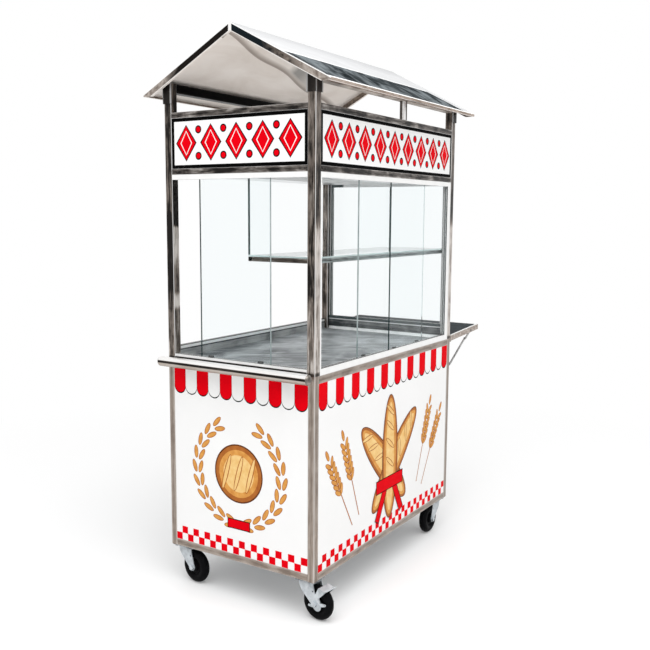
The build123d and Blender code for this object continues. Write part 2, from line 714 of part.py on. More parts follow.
def make_casters():
    """Four swivel casters, drawn at the origin with the trail along X, then turned to their rest angles."""
    axle_z = wheel_diameter / 2
    plate_bottom = caster_height - caster_plate_sheet
    fork_under = wheel_diameter + fork_wheel_gap
    cup_bottom = fork_under + fork_sheet
    cup_top = cup_bottom + cup_height
    head_top = fork_under - running_gap
    leg_inner = fork_gap / 2
    leg_outer = leg_inner + fork_sheet
    pivot_x, pivot_z = caster_trail + brake_pivot_reach, axle_z + brake_pivot_rise

    plate = block((-half_plate, -half_plate, plate_bottom), (half_plate, half_plate, caster_height))
    plate += rod(race_diameter, (0, 0, cup_top + running_gap), (0, 0, plate_bottom))
    plate += rod(king_pin_diameter, (0, 0, head_top), (0, 0, plate_bottom))
    plate += rod(king_pin_head_diameter, (0, 0, head_top - king_pin_head), (0, 0, head_top))
    bolts = []
    for x in (-caster_bolt_spacing / 2, caster_bolt_spacing / 2):
        for y in (-caster_bolt_spacing / 2, caster_bolt_spacing / 2):
            plate -= rod(caster_bolt_diameter + 2 * bolt_fit, (x, y, plate_bottom), (x, y, caster_height))
            head = Pos(x, y, plate_bottom - caster_bolt_head) * extrude(
                RegularPolygon(caster_bolt_head_diameter / 2, 6, major_radius=False), amount=caster_bolt_head)
            bolts.append(head + rod(caster_bolt_diameter, (x, y, plate_bottom), (x, y, caster_height)))

    def disc(diameter, reach, rise):
        """Circle placed from the axle: outwards along the trail, and upwards."""
        return Pos(caster_trail + reach, axle_z + rise) * Circle(diameter / 2)

    def fork(braked):
        """Pressed crown with two legs. A braked fork's legs also have the brake's lobe and its two hooks."""
        crown = make_hull((Circle(cup_diameter / 2) + Pos((crown_back - crown_front) / 2, 0)
                           * Rectangle(crown_front + crown_back, 2 * leg_outer)).edges())
        body = Pos(0, 0, fork_under) * extrude(crown, amount=fork_sheet)
        body += rod(cup_diameter, (0, 0, cup_bottom), (0, 0, cup_top))
        shoulder = (-crown_front, cup_bottom)
        knee = (-fork_knee_reach, cup_bottom - fork_knee_drop)
        brow = [SagittaArc(shoulder, knee, -fork_bow), Line(shoulder, (crown_back, cup_bottom))]
        leg = make_hull(brow + list(disc(fork_boss_diameter, 0, 0).edges()))
        if braked:
            leg += make_hull((disc(brake_lobe_diameter, brake_lobe_reach, -brake_lobe_drop)
                              + disc(brake_boss_diameter, brake_pivot_reach, brake_pivot_rise)).edges())
            leg += make_hull((disc(brake_hook_diameter, -front_hook_reach, -front_hook_drop)
                              + disc(brake_hook_diameter, 0, -front_hook_drop)).edges())
            leg += make_hull((disc(brake_hook_diameter, back_hook_reach, back_hook_rise)
                              + disc(brake_boss_diameter, brake_lobe_reach, 0)).edges())
            leg -= disc(brake_hook_hole, back_hook_reach, back_hook_rise)
            leg -= disc(brake_pin_diameter + 2 * pin_fit, brake_pivot_reach, brake_pivot_rise)
        leg -= disc(axle_diameter, 0, 0)
        leg -= Pos(fork_hole_reach, cup_bottom - fork_hole_drop) * Circle(fork_hole_diameter / 2)
        for face in (-leg_outer, leg_inner):
            body += extrude(Plane.XZ.offset(face) * leg, amount=fork_sheet)
        return body - rod(king_pin_diameter + 2 * pin_fit, (0, 0, fork_under), (0, 0, cup_top))

    def axle():
        end = leg_outer + axle_head
        bolt = rod(axle_diameter, (caster_trail, -leg_outer, axle_z), (caster_trail, leg_outer, axle_z))
        for low in (-end, leg_outer):
            nut = extrude(RegularPolygon(axle_head_diameter / 2, 6, major_radius=False), amount=axle_head)
            bolt += Pos(caster_trail, low + axle_head, axle_z) * Rot(90, 0, 0) * nut
        return bolt

    def wheel():
        """Moulded wheel: hub, dished web, raised ring, and a tyre with shoulders rounded in three steps."""
        bore, outer, half = axle_diameter / 2 + pin_fit, wheel_diameter / 2, wheel_width / 2
        side = outer - tyre_round - tyre_side
        ring = side - (half - ring_width / 2)
        points = [(bore, hub_width / 2), (hub_diameter / 2, hub_width / 2),
                  (hub_diameter / 2 + web_slant, web_width / 2),
                  (ring - ring_depth - web_slant, web_width / 2),
                  (ring - ring_depth, ring_width / 2), (ring, ring_width / 2), (side, half)]
        for turn in (0, 30, 60, 90):
            points.append((outer - tyre_round + tyre_round * sin(radians(turn)),
                           half - tyre_round + tyre_round * cos(radians(turn))))
        points += [(radius, -y) for radius, y in reversed(points)]
        return Pos(caster_trail, 0, axle_z) * revolve(make_face(Polyline(*points, close=True)), axis=Axis.Y)

    def pedal():
        """Stirrup over the tyre: two arms pivoted outside the legs, a sloping tread and its turned-up lip."""
        arm_inner = leg_outer + side_gap
        arm_outer = arm_inner + brake_arm_sheet
        clear = wheel_diameter / 2 + pedal_gap + pedal_sheet / 2
        slope = radians(pedal_tilt)
        top = (clear * sin(slope), clear * cos(slope))
        foot = (top[0] + pedal_length * cos(slope), top[1] - pedal_length * sin(slope))
        arm = make_hull((disc(brake_boss_diameter, brake_pivot_reach, brake_pivot_rise)
                         + disc(pedal_sheet, *top) + disc(pedal_sheet, *foot)).edges())
        flat = (Align.MIN, Align.CENTER, Align.CENTER)
        tread = Pos(caster_trail + top[0], 0, axle_z + top[1]) * Rot(0, pedal_tilt, 0) * Box(
            pedal_length, 2 * arm_outer, pedal_sheet, align=flat)
        lip = Pos(caster_trail + foot[0], 0, axle_z + foot[1]) * Rot(0, -pedal_lip_tilt, 0) * Box(
            pedal_lip, 2 * arm_outer, pedal_sheet, align=flat)
        body = tread + lip + rod(pedal_sheet, (caster_trail + foot[0], -arm_outer, axle_z + foot[1]),
                                 (caster_trail + foot[0], arm_outer, axle_z + foot[1]))
        for side in (-1, 1):
            face = arm_outer * side
            low = min(face, face - side * brake_arm_sheet)
            body += extrude(Plane.XZ.offset(-low - brake_arm_sheet) * arm, amount=brake_arm_sheet)
            body += rod(brake_pin_diameter, (pivot_x, face, pivot_z), (pivot_x, side * leg_inner, pivot_z))
        return body

    plates, all_bolts, pads = [], [], []
    for name, (a, b, angle, braked) in casters.items():
        swivel = Pos(a * (half_length - caster_inset), b * (half_width - caster_inset), 0)
        turned = swivel * Rot(0, 0, angle)
        plates.append(swivel * plate)
        all_bolts += [swivel * bolt for bolt in bolts]
        inner_x, inner_y = half_length - base_tube, half_width - base_tube
        low_x, high_x = sorted((a * inner_x, a * (inner_x - caster_pad_size)))
        low_y, high_y = sorted((b * inner_y, b * (inner_y - caster_pad_size)))
        pads.append(block((low_x, low_y, base_bottom), (high_x, high_y, base_bottom + caster_pad_sheet)))
        save(f"fork_{name}", turned * fork(braked))
        save(f"axle_{name}", turned * axle())
        save(f"wheel_{name}", turned * wheel())
        if braked:
            save(f"pedal_{name}", turned * pedal())
    save_all("caster_plates", plates)
    save_all("caster_bolts", all_bolts)
    save_all("caster_pads", pads)


os.makedirs("parts", exist_ok=True)
make_base()
make_upstands()
make_cabinet_frame()
make_roof()
make_tracks()
make_panes()
make_fixed_glass()
make_handle()
make_side_shelf()
make_doors()
make_casters()
print(f"origin shift along X: {centre_shift:.3f} mm")
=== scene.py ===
"""Looks of the stainless street sandwich cart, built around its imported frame."""
import json
import math

import bpy
from mathutils import Matrix, Vector


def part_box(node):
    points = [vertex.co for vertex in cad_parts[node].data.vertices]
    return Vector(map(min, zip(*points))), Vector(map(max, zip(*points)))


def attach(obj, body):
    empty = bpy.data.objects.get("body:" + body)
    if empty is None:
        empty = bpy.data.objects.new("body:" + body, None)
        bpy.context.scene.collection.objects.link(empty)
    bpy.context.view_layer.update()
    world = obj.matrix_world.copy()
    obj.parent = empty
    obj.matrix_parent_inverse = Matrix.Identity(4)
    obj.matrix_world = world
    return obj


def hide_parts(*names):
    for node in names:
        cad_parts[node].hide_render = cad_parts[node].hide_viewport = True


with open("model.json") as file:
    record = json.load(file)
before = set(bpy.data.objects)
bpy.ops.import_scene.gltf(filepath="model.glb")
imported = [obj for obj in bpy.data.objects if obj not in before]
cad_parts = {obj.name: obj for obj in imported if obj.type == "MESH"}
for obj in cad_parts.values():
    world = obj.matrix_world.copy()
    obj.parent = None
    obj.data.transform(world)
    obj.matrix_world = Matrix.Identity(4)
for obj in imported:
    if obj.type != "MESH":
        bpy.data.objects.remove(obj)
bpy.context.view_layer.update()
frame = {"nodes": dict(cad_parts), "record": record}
nodes = frame["nodes"]

# Base frame of 25 mm stainless square tube, welded at the corners and brushed along each tube.
# Every flat face of a tube carries a painted reflection of the room as long bands: a darker core and warm
# sides, with bright painted highlights on its corners.
# The same kind of tube makes every frame of the cart, so its finish is one node group.
post_low, post_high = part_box("base_posts")
cart_x = (post_low[0] + post_high[0]) / 2
cart_half_x = (post_high[0] - post_low[0]) / 2
cart_half_y = post_high[1]
base_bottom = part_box("base_bottom_rails")[0][2]
base_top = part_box("base_top_rails")[1][2]
base_tube = 0.025


def fill(entry, value):
    """Sets a socket to a plain number, place or colour, or wires a tone to it."""
    if isinstance(value, Tone):
        value.tree.links.new(value.output, entry)
    elif entry.type == "RGBA":
        entry.default_value = (*value, 1.0)
    else:
        entry.default_value = value


def put(tree, kind, **inputs):
    """One shader node with its inputs filled by name, where an underscore stands for a space."""
    node = tree.nodes.new(kind)
    for name, value in inputs.items():
        fill(node.inputs[name.replace("_", " ")], value)
    return node


class Tone:
    """A value, colour or place that changes over a surface: one output in a tree of shader nodes."""

    def __init__(self, output):
        self.output = output
        self.tree = output.id_data

    def work(self, operation, first, second=0.0):
        """One math node on two numbers or tones."""
        node = self.tree.nodes.new("ShaderNodeMath")
        node.operation = operation
        fill(node.inputs[0], first)
        fill(node.inputs[1], second)
        return Tone(node.outputs["Value"])

    def __add__(self, other):
        return self.work("ADD", self, other)

    def __sub__(self, other):
        return self.work("SUBTRACT", self, other)

    def __rsub__(self, other):
        return self.work("SUBTRACT", other, self)

    def __mul__(self, other):
        return self.work("MULTIPLY", self, other)

    def __truediv__(self, other):
        return self.work("DIVIDE", self, other)

    def __abs__(self):
        return self.work("ABSOLUTE", self)

    def wave(self):
        return self.work("SINE", self)

    def least(self, other):
        return self.work("MINIMUM", self, other)

    def most(self, other):
        return self.work("MAXIMUM", self, other)

    def ramp(self, start, end, low=0.0, high=1.0):
        """The tone carried from one range to another and held inside it."""
        node = put(self.tree, "ShaderNodeMapRange", Value=self, From_Min=start, From_Max=end, To_Min=low,
                   To_Max=high)
        return Tone(node.outputs["Result"])

    def curve(self, *stops):
        """A value that follows straight lines between a few stops of place and value."""
        first, last = stops[0][0], stops[-1][0]
        node = self.tree.nodes.new("ShaderNodeValToRGB")
        points = node.color_ramp.elements
        while len(points) < len(stops):
            points.new(0.5)
        for point, (place, level) in zip(points, stops):
            point.position = (place - first) / (last - first)
            point.color = (level, level, level, 1.0)
        fill(node.inputs["Fac"], self.ramp(first, last))
        return Tone(node.outputs["Color"])

    def blend(self, first, second):
        """Two colours mixed by this tone: the first where it is 0, the second where it is 1."""
        node = self.tree.nodes.new("ShaderNodeMix")
        node.data_type = "RGBA"
        for entry, value in ((0, self), (6, first), (7, second)):
            fill(node.inputs[entry], value)
        return Tone(node.outputs[2])

    def noise(self, scale, detail=4.0, roughness=0.6, distortion=0.0):
        """Noise on a place."""
        node = put(self.tree, "ShaderNodeTexNoise", Vector=self, Scale=scale, Detail=detail,
                   Roughness=roughness, Distortion=distortion)
        return Tone(node.outputs["Fac"])

    def stretch(self, scale, turn=0.0):
        """A place turned about the upright axis, in degrees, and then stretched."""
        turned = put(self.tree, "ShaderNodeMapping", Vector=self, Rotation=(0.0, 0.0, math.radians(turn)))
        stretched = put(self.tree, "ShaderNodeMapping", Vector=Tone(turned.outputs["Vector"]), Scale=scale)
        return Tone(stretched.outputs["Vector"])


class Spot:
    """A spot on a surface: its place, its x from the cart's middle, y and z, and the way it faces."""

    def __init__(self, material):
        tree = material.node_tree
        source = tree.nodes.new("ShaderNodeTexCoord").outputs
        self.place = Tone(source["Object"])
        place = put(tree, "ShaderNodeSeparateXYZ", Vector=self.place).outputs
        facing = put(tree, "ShaderNodeSeparateXYZ", Vector=Tone(source["Normal"])).outputs
        self.x = Tone(place["X"]) - cart_x
        self.y, self.z = Tone(place["Y"]), Tone(place["Z"])
        self.face_x, self.face_y, self.face_z = (Tone(facing[axis]) for axis in "XYZ")


def new_material(name, metallic=0.0, rough=0.5, specular=0.5):
    """A material with only its Principled shader and output, and that shader's sockets."""
    material = bpy.data.materials.new(name)
    material.use_nodes = True
    shader = material.node_tree.nodes["Principled BSDF"].inputs
    shader["Metallic"].default_value = metallic
    shader["Roughness"].default_value = rough
    shader["Specular IOR Level"].default_value = specular
    return material, shader


def paint(material, *names):
    """Gives CAD nodes their finish."""
    for name in names:
        slots = nodes[name].data.materials
        slots.clear()
        slots.append(material)


def new_group(name, values, colours):
    """A node group for brushed steel: the group, the tones it takes in and the sockets it puts out."""
    group = bpy.data.node_groups.new(name, "ShaderNodeTree")
    for kind, sockets in (("Vector", ("Position", "Grain")), ("Float", values), ("Color", colours)):
        for socket in sockets:
            group.interface.new_socket(socket, in_out="INPUT", socket_type="NodeSocket" + kind)
    for socket, kind in (("Color", "Color"), ("Roughness", "Float"), ("Normal", "Vector")):
        group.interface.new_socket(socket, in_out="OUTPUT", socket_type="NodeSocket" + kind)
    inside = {output.name: Tone(output) for output in group.nodes.new("NodeGroupInput").outputs}
    return group, inside, group.nodes.new("NodeGroupOutput").inputs


def brush(outside, colour, streak, smooth, rough):
    """Closes a group of brushed steel: its colour, with roughness and fine scratches from the streaks."""
    scratches = put(colour.tree, "ShaderNodeBump", Strength=0.05, Distance=0.0004, Height=streak)
    fill(outside["Color"], colour)
    fill(outside["Roughness"], streak.ramp(0.0, 1.0, smooth, rough))
    fill(outside["Normal"], Tone(scratches.outputs["Normal"]))


def make_tube_group():
    """Brushed tube: streaks along it, painted reflection as patches and as a dark core across each face, and
    painted highlights on its corners.
    """
    group, inside, outside = new_group(
        "tube_bands", ("Across", "Shade", "Contrast", "Patches", "Core", "Corner"),
        ("Light", "Middle", "Dark"))
    across = inside["Across"]
    streak = inside["Grain"].noise(150.0, 4.0, 0.62)
    patch = inside["Position"].noise(13.0, 3.0, 0.55, 0.5)
    streaks = streak.ramp(0.34, 0.66, -0.5, 0.5) * inside["Contrast"]
    patches = patch.ramp(0.30, 0.70, -0.5, 0.5) * inside["Patches"]
    core = across.ramp(0.15, 0.75, 1.0, -0.4) * inside["Core"]
    tone = streaks + patches + core + inside["Shade"]
    colour = tone.ramp(0.0, 0.5).blend(inside["Light"], inside["Middle"])
    colour = tone.ramp(0.5, 1.0).blend(colour, inside["Dark"])
    # Painted highlight along the rounded corners of each face, broken up by the patches.
    corner = across.ramp(0.84, 0.95) * across.ramp(1.02, 1.08, 1.0, 0.0) * inside["Corner"]
    corner_highlight = corner * patch.ramp(0.25, 0.5, 0.55, 1.0)
    brush(outside, corner_highlight.blend(colour, (0.84, 0.835, 0.83)), streak, 0.24, 0.42)
    return group


def place_group(group, name, grain, turn, metallic, specular, values):
    """A material around a group of brushed steel. Each value is plain, or is built from a spot."""
    material, shader = new_material(name, metallic, specular=specular)
    spot = Spot(material)
    steel = material.node_tree.nodes.new("ShaderNodeGroup")
    steel.node_tree = group
    fill(steel.inputs["Position"], spot.place)
    fill(steel.inputs["Grain"], spot.place.stretch(grain, turn))
    for socket, value in values.items():
        fill(steel.inputs[socket], value(spot) if callable(value) else value)
    for output, entry in (("Color", "Base Color"), ("Roughness", "Roughness"), ("Normal", "Normal")):
        fill(shader[entry], Tone(steel.outputs[output]))
    return material


tube_bands = make_tube_group()
upright_grain = (1.0, 1.0, 0.07)
level_grain = (0.12, 0.12, 1.0)
warm_light = (0.55, 0.485, 0.43)
warm_middle = (0.215, 0.172, 0.142)
near_black = (0.012, 0.010, 0.009)


def tube_steel(name, grain, across, shade, contrast=0.8, patches=0.4, core=0.2, corner=0.85,
               light=warm_light, middle=warm_middle, dark=near_black, metallic=0.85, specular=0.5):
    """Brushed tube whose grain runs along the axis with the small stretch value."""
    return place_group(tube_bands, name, grain, 0.0, metallic, specular, {
        "Across": across, "Shade": shade, "Contrast": contrast, "Patches": patches, "Core": core,
        "Corner": corner, "Light": light, "Middle": middle, "Dark": dark})


def across_posts(reach_x, reach_y, half):
    """How far a spot on square posts is from the middle of its face, as a share of half the face."""
    def build(spot):
        return abs(abs(spot.x) - reach_x).least(abs(abs(spot.y) - reach_y)) / half
    return build


def across_rails(middle, reach, half):
    """The same for level rails that lie in pairs above and below a middle height."""
    def build(spot):
        return abs(abs(spot.z - middle) - reach) / half
    return build


half_base = base_tube / 2
base_across = across_posts(cart_half_x - half_base, cart_half_y - half_base, half_base)
base_middle, base_reach = (base_top + base_bottom) / 2, (base_top - base_bottom) / 2 - half_base
rails_across = across_rails(base_middle, base_reach, half_base)
paint(tube_steel("base_upright", upright_grain, base_across, 0.31, contrast=0.26, patches=0.16, core=0.12,
                 corner=0.75), "base_posts")
base_level = tube_steel("base_level", level_grain, rails_across, 0.32, contrast=0.22, patches=0.20, core=0.12,
                        corner=0.75)
paint(base_level, "base_bottom_rails", "base_top_rails")

# White base skins: thin sheet with a satin film, set between the tubes a millimetre behind their faces.
# The customers' side and the handle end carry a printed design of thin coloured film: an awning edge along
# the top, a bundle of loaves or a round loaf in wheat in the middle, and a check band along the bottom.


def plain_finish(name, colour, second, scale=14.0, rough=0.5, specular=0.1, detail=4.0, spread=0.2):
    """A plain finish with slight unevenness, as of ink, plastic or a ground edge."""
    material, shader = new_material(name, 0.0, rough, specular)
    place = Tone(material.node_tree.nodes.new("ShaderNodeTexCoord").outputs["Object"])
    patches = place.noise(scale, detail).ramp(0.5 - spread, 0.5 + spread)
    fill(shader["Base Color"], patches.blend(colour, second))
    return material


skin_white = plain_finish("skin_white", (0.89, 0.89, 0.885), (0.86, 0.86, 0.855), scale=4.0, specular=0.3)
print_red = plain_finish("print_red", (0.80, 0.0, 0.006), (0.68, 0.0, 0.006), specular=0.02)
print_black = plain_finish("print_black", (0.001, 0.001, 0.001), (0.003, 0.003, 0.003), specular=0.01)
print_white = plain_finish("print_white", (0.88, 0.88, 0.87), (0.84, 0.84, 0.83))
crust_dark = plain_finish("crust_dark", (0.15, 0.040, 0.008), (0.085, 0.022, 0.005), scale=60.0)
crust_brown = plain_finish("crust_brown", (0.46, 0.155, 0.030), (0.34, 0.095, 0.016), scale=45.0)
crust_gold = plain_finish("crust_gold", (0.74, 0.37, 0.09), (0.58, 0.23, 0.045), scale=45.0)
crust_pale = plain_finish("crust_pale", (0.88, 0.63, 0.28), (0.79, 0.48, 0.16), scale=45.0)
paint(skin_white, "base_panels")

film_thickness = 0.0001
film_lift = 0.0001
film_step = 0.0003


def only(piece):
    """Makes a piece the whole selection."""
    bpy.ops.object.select_all(action="DESELECT")
    piece.select_set(True)
    bpy.context.view_layer.objects.active = piece


def shape(piece):
    """Opens a piece in edit mode with all of it selected."""
    only(piece)
    bpy.ops.object.mode_set(mode="EDIT")
    bpy.ops.mesh.select_all(action="SELECT")


def shaped():
    """Closes edit mode."""
    bpy.ops.object.mode_set(mode="OBJECT")


def pick(piece, kind, wanted):
    """Selects, in edit mode, the points or the faces that pass a test."""
    bpy.ops.mesh.select_mode(type=kind)
    bpy.ops.mesh.select_all(action="DESELECT")
    bpy.ops.object.mode_set(mode="OBJECT")
    for element in piece.data.vertices if kind == "VERT" else piece.data.polygons:
        element.select = wanted(element)
    bpy.ops.object.mode_set(mode="EDIT")


def fix_place(piece):
    """Moves a piece's place, turn and scale into its mesh."""
    only(piece)
    bpy.ops.object.transform_apply(location=True, rotation=True, scale=True)


def copies(piece, places):
    """Copies a modelled piece to each place, every copy with its own mesh, and removes the first."""
    made = []
    for place in places:
        twin = piece.copy()
        twin.data = piece.data.copy()
        bpy.context.scene.collection.objects.link(twin)
        twin.matrix_world = place @ piece.matrix_world
        made.append(twin)
    bpy.data.objects.remove(piece)
    bpy.context.view_layer.update()
    return made


def join_as(name, pieces):
    """Joins pieces into one, with its place in its mesh."""
    bpy.ops.object.select_all(action="DESELECT")
    for piece in pieces:
        piece.select_set(True)
    bpy.context.view_layer.objects.active = pieces[0]
    bpy.ops.object.join()
    joined = bpy.context.object
    joined.name = name
    joined.data.name = name
    fix_place(joined)
    return joined


def flat_at(across, up, turn=0.0):
    """A place on a flat drawing: across, up, turned in degrees."""
    return Matrix.Translation((across, up, 0.0)) @ Matrix.Rotation(math.radians(turn), 4, "Z")


def open_flat(length, width, materials):
    """Gives the flat piece that was just added its size and colours, and opens it."""
    piece = bpy.context.object
    piece.scale = (length, width, 1.0)
    fix_place(piece)
    for material in materials:
        piece.data.materials.append(material)
    shape(piece)
    return piece


def colour_faces(piece, index):
    """Gives the selected faces one of the piece's colours."""
    piece.active_material_index = index
    bpy.ops.object.material_slot_assign()


def oval(length, width, bands, materials, points=40):
    """A flat oval in bands of colour from its rim inwards, each drawn in by its width."""
    bpy.ops.object.select_all(action="DESELECT")
    bpy.ops.mesh.primitive_circle_add(vertices=points, radius=0.5, fill_type="NGON")
    piece = open_flat(length, width, materials)
    long_half, short_half = length / 2, width / 2
    for count, band in enumerate(bands):
        bpy.ops.mesh.inset(thickness=0.00001)
        drawn_in = ((long_half - band) / long_half, (short_half - band) / short_half, 1.0)
        bpy.ops.transform.resize(value=drawn_in, center_override=(0.0, 0.0, 0.0))
        long_half, short_half = long_half - band, short_half - band
        colour_faces(piece, count + 1)
    shaped()
    return piece


def strip(length, width, materials, rim=0.0):
    """A flat strip, with a rim of its first colour where one is asked for."""
    bpy.ops.object.select_all(action="DESELECT")
    bpy.ops.mesh.primitive_plane_add(size=1.0)
    piece = open_flat(length, width, materials)
    if rim:
        bpy.ops.mesh.inset(thickness=rim)
        colour_faces(piece, 1)
    else:
        bpy.ops.mesh.subdivide(number_cuts=1)
    shaped()
    return piece


def flap(width, drop, material):
    """One flap of an awning edge: a half round below a straight strip."""
    bpy.ops.object.select_all(action="DESELECT")
    bpy.ops.mesh.primitive_circle_add(vertices=32, radius=width / 2, fill_type="NGON")
    piece = bpy.context.object
    piece.data.materials.append(material)
    shape(piece)
    bpy.ops.mesh.bisect(plane_co=(0.0, 0.0, 0.0), plane_no=(0.0, 1.0, 0.0), clear_outer=True)
    pick(piece, "VERT", lambda point: abs(point.co.y) < 1e-5)
    bpy.ops.mesh.extrude_region_move(TRANSFORM_OT_translate={"value": (0.0, drop, 0.0)})
    shaped()
    return piece


def lay_film(name, pieces, skin, layer):
    """Joins flat drawn shapes and lays them on a skin as one film of its layer."""
    film = join_as(name, pieces)
    thicken = film.modifiers.new("film", "SOLIDIFY")
    thicken.thickness = film_thickness
    thicken.offset = 1.0
    only(film)
    bpy.ops.object.modifier_apply(modifier=thicken.name)
    film.matrix_world = skin @ Matrix.Translation((0.0, 0.0, film_lift + layer * film_step))
    fix_place(film)
    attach(film, "cart")


skin_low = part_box("base_panels")[0]
end_view = Matrix(((0, 0, -1, 0), (-1, 0, 0, 0), (0, 1, 0, 0), (0, 0, 0, 1)))
front_view = Matrix(((1, 0, 0, 0), (0, 0, -1, 0), (0, 1, 0, 0), (0, 0, 0, 1)))
end_skin = Matrix.Translation((skin_low[0], 0.0, 0.0)) @ end_view
front_skin = Matrix.Translation((cart_x, skin_low[1], 0.0)) @ front_view
skin_bottom, skin_top = base_bottom + base_tube, base_top - base_tube

flap_width, flap_drop, flap_gap, flap_line = 0.05, 0.062, 0.001, 0.0035
low_centre = skin_top - flap_drop
check = 0.025
for name, skin, flap_count in (("end", end_skin, 11), ("front", front_skin, 19)):
    middles = [(count - (flap_count - 1) / 2) * flap_width for count in range(flap_count)]
    for part, gap, line, material, spots in (("line", 0.0, flap_line, print_black, middles),
                                             ("red", flap_gap, 0.0, print_red, middles[0::2]),
                                             ("white", flap_gap, 0.0, print_white, middles[1::2])):
        flaps = copies(flap(flap_width - gap, flap_drop - line, material),
                       [flat_at(across, low_centre - line) for across in spots])
        lay_film(name + "_awning_" + part, flaps, skin, 0 if part == "line" else 1)
    squares = []
    for count in range(flap_count * 2):
        across = (count - flap_count + 0.5) * check
        squares.append(flat_at(across, skin_bottom + check * (0.5 + count % 2)))
    lay_film(name + "_check_band", copies(strip(check, check, (print_red,)), squares), skin, 0)

crust = (crust_dark, crust_brown, crust_gold, crust_pale)
cut_colours = (crust_brown, crust_pale)
grain_colours = (crust_brown, crust_gold)
tie_colours, tie_rim = (print_black, print_red), 0.003
bundle_up, bundle_cross, bundle_shift = 0.432, 0.06, 0.055
loaf_length, loaf_width, loaf_bands = 0.46, 0.116, (0.004, 0.010, 0.014)
cut_length, cut_width, cut_rim, cut_turn = 0.074, 0.018, 0.003, 52.0
cut_spots = (-0.02, 0.05, 0.115, 0.172)
for count, turn in enumerate((136.0, 44.0, 90.0)):
    loaf_place = flat_at(0.0, bundle_up - bundle_cross) @ flat_at(0.0, 0.0, turn) @ flat_at(bundle_shift, 0.0)
    loaf = oval(loaf_length, loaf_width, loaf_bands, crust)
    lay_film("loaf_" + str(count + 1), copies(loaf, [loaf_place]), front_skin, count)
    cut = oval(cut_length, cut_width, (cut_rim,), cut_colours, points=20)
    cuts = [loaf_place @ flat_at(along, 0.0, cut_turn) for along in cut_spots]
    lay_film("loaf_cuts_" + str(count + 1), copies(cut, cuts), front_skin, count + 0.5)
tie_length, tie_width, tie_drop = 0.20, 0.050, 0.10
tail_length, tail_width, tail_drop, tail_reach, tail_lean = 0.14, 0.034, 0.165, 0.06, 62.0
tie = strip(tie_length, tie_width, tie_colours, tie_rim)
tail = strip(tail_length, tail_width, tie_colours, tie_rim)
tails = [flat_at(side * tail_reach, bundle_up - tail_drop, -side * tail_lean) for side in (-1, 1)]
lay_film("loaf_tie", copies(tail, tails), front_skin, 3)
lay_film("loaf_tie_band", copies(tie, [flat_at(0.0, bundle_up - tie_drop)]), front_skin, 3.5)

ear_spots = ((0.275, 0.43, 20.0), (0.345, 0.395, 30.0))
grain_pairs, grain_spacing, grain_reach, grain_lean = 6, 0.024, 0.012, 32.0
ear_grains = [flat_at(0.0, grain_pairs * grain_spacing + grain_reach, 90.0)]
for count in range(grain_pairs):
    for side in (-1, 1):
        ear_grains.append(flat_at(side * grain_reach, count * grain_spacing, 90.0 - side * grain_lean))
ears = [flat_at(side * across, up, -side * turn) for side in (-1, 1) for across, up, turn in ear_spots]
grain_length, grain_width, grain_rim = 0.042, 0.017, 0.0024
stem_length, stem_width, stem_drop = 0.22, 0.0045, 0.055
grain = oval(grain_length, grain_width, (grain_rim,), grain_colours, points=18)
stem = strip(stem_length, stem_width, (crust_brown,))
stems = [ear @ flat_at(0.0, -stem_drop, 90.0) for ear in ears]
lay_film("front_wheat_stems", copies(stem, stems), front_skin, 0)
grains = [ear @ place for ear in ears for place in ear_grains]
lay_film("front_wheat_grains", copies(grain, grains), front_skin, 0.5)

round_up, round_size, round_bands = 0.44, 0.20, (0.005, 0.014, 0.018)
loaf = oval(round_size, round_size, round_bands, crust, points=48)
lay_film("round_loaf", copies(loaf, [flat_at(0.0, round_up)]), end_skin, 0)
cut_length, cut_width, cut_rim, cut_turn = 0.13, 0.020, 0.0035, 74.0
cut = oval(cut_length, cut_width, (cut_rim,), cut_colours, points=24)
cuts = [flat_at(across, round_up, cut_turn) for across in (-0.05, 0.0, 0.05)]
lay_film("round_loaf_cuts", copies(cut, cuts), end_skin, 0.5)
wreath_size, wreath_spread, leaf_lean = 0.175, 0.013, 18.0
wreath_start, wreath_step = -78.0, 15.5
leaves = []
for count in range(10):
    for side in (-1, 1):
        sweep = math.radians(wreath_start + count * wreath_step)
        for row in (-1, 1):
            ring = wreath_size + row * wreath_spread
            leaves.append(flat_at(side * ring * math.cos(sweep), round_up + ring * math.sin(sweep),
                                  side * (math.degrees(sweep) + 90.0 - row * leaf_lean)))
leaf_length, leaf_width, leaf_rim = 0.046, 0.018, 0.0026
leaf = oval(leaf_length, leaf_width, (leaf_rim,), grain_colours, points=18)
lay_film("wheat_wreath", copies(leaf, leaves), end_skin, 0)
tie_length, tie_width = 0.095, 0.034
tie = strip(tie_length, tie_width, tie_colours, tie_rim)
lay_film("wreath_tie", copies(tie, [flat_at(0.0, round_up - wreath_size)]), end_skin, 0.5)

# Cupboard floor, shelf, cleats and the two doors of the vendor's side: cool stainless sheet, brushed along
# the cart. The knobs are black moulded plastic.


def make_sheet_group():
    """Brushed sheet: long streaks on a stretched position and broad cloudy painted reflections."""
    group, inside, outside = new_group(
        "brushed_sheet", ("Streak Scale", "Cloud Scale", "Clouds", "Contrast", "Shade"), ("Light", "Dark"))
    streak = inside["Grain"].noise(inside["Streak Scale"], 4.0, 0.65)
    cloud = inside["Position"].noise(inside["Cloud Scale"], 3.0, 0.55, 0.6)
    both = streak.ramp(0.3, 0.7, -0.4, 0.4) + cloud.ramp(0.3, 0.7, -0.5, 0.5) * inside["Clouds"]
    tone = both * inside["Contrast"] + inside["Shade"]
    brush(outside, tone.ramp(0.0, 1.0).blend(inside["Light"], inside["Dark"]), streak, 0.26, 0.46)
    return group


brushed_sheet = make_sheet_group()


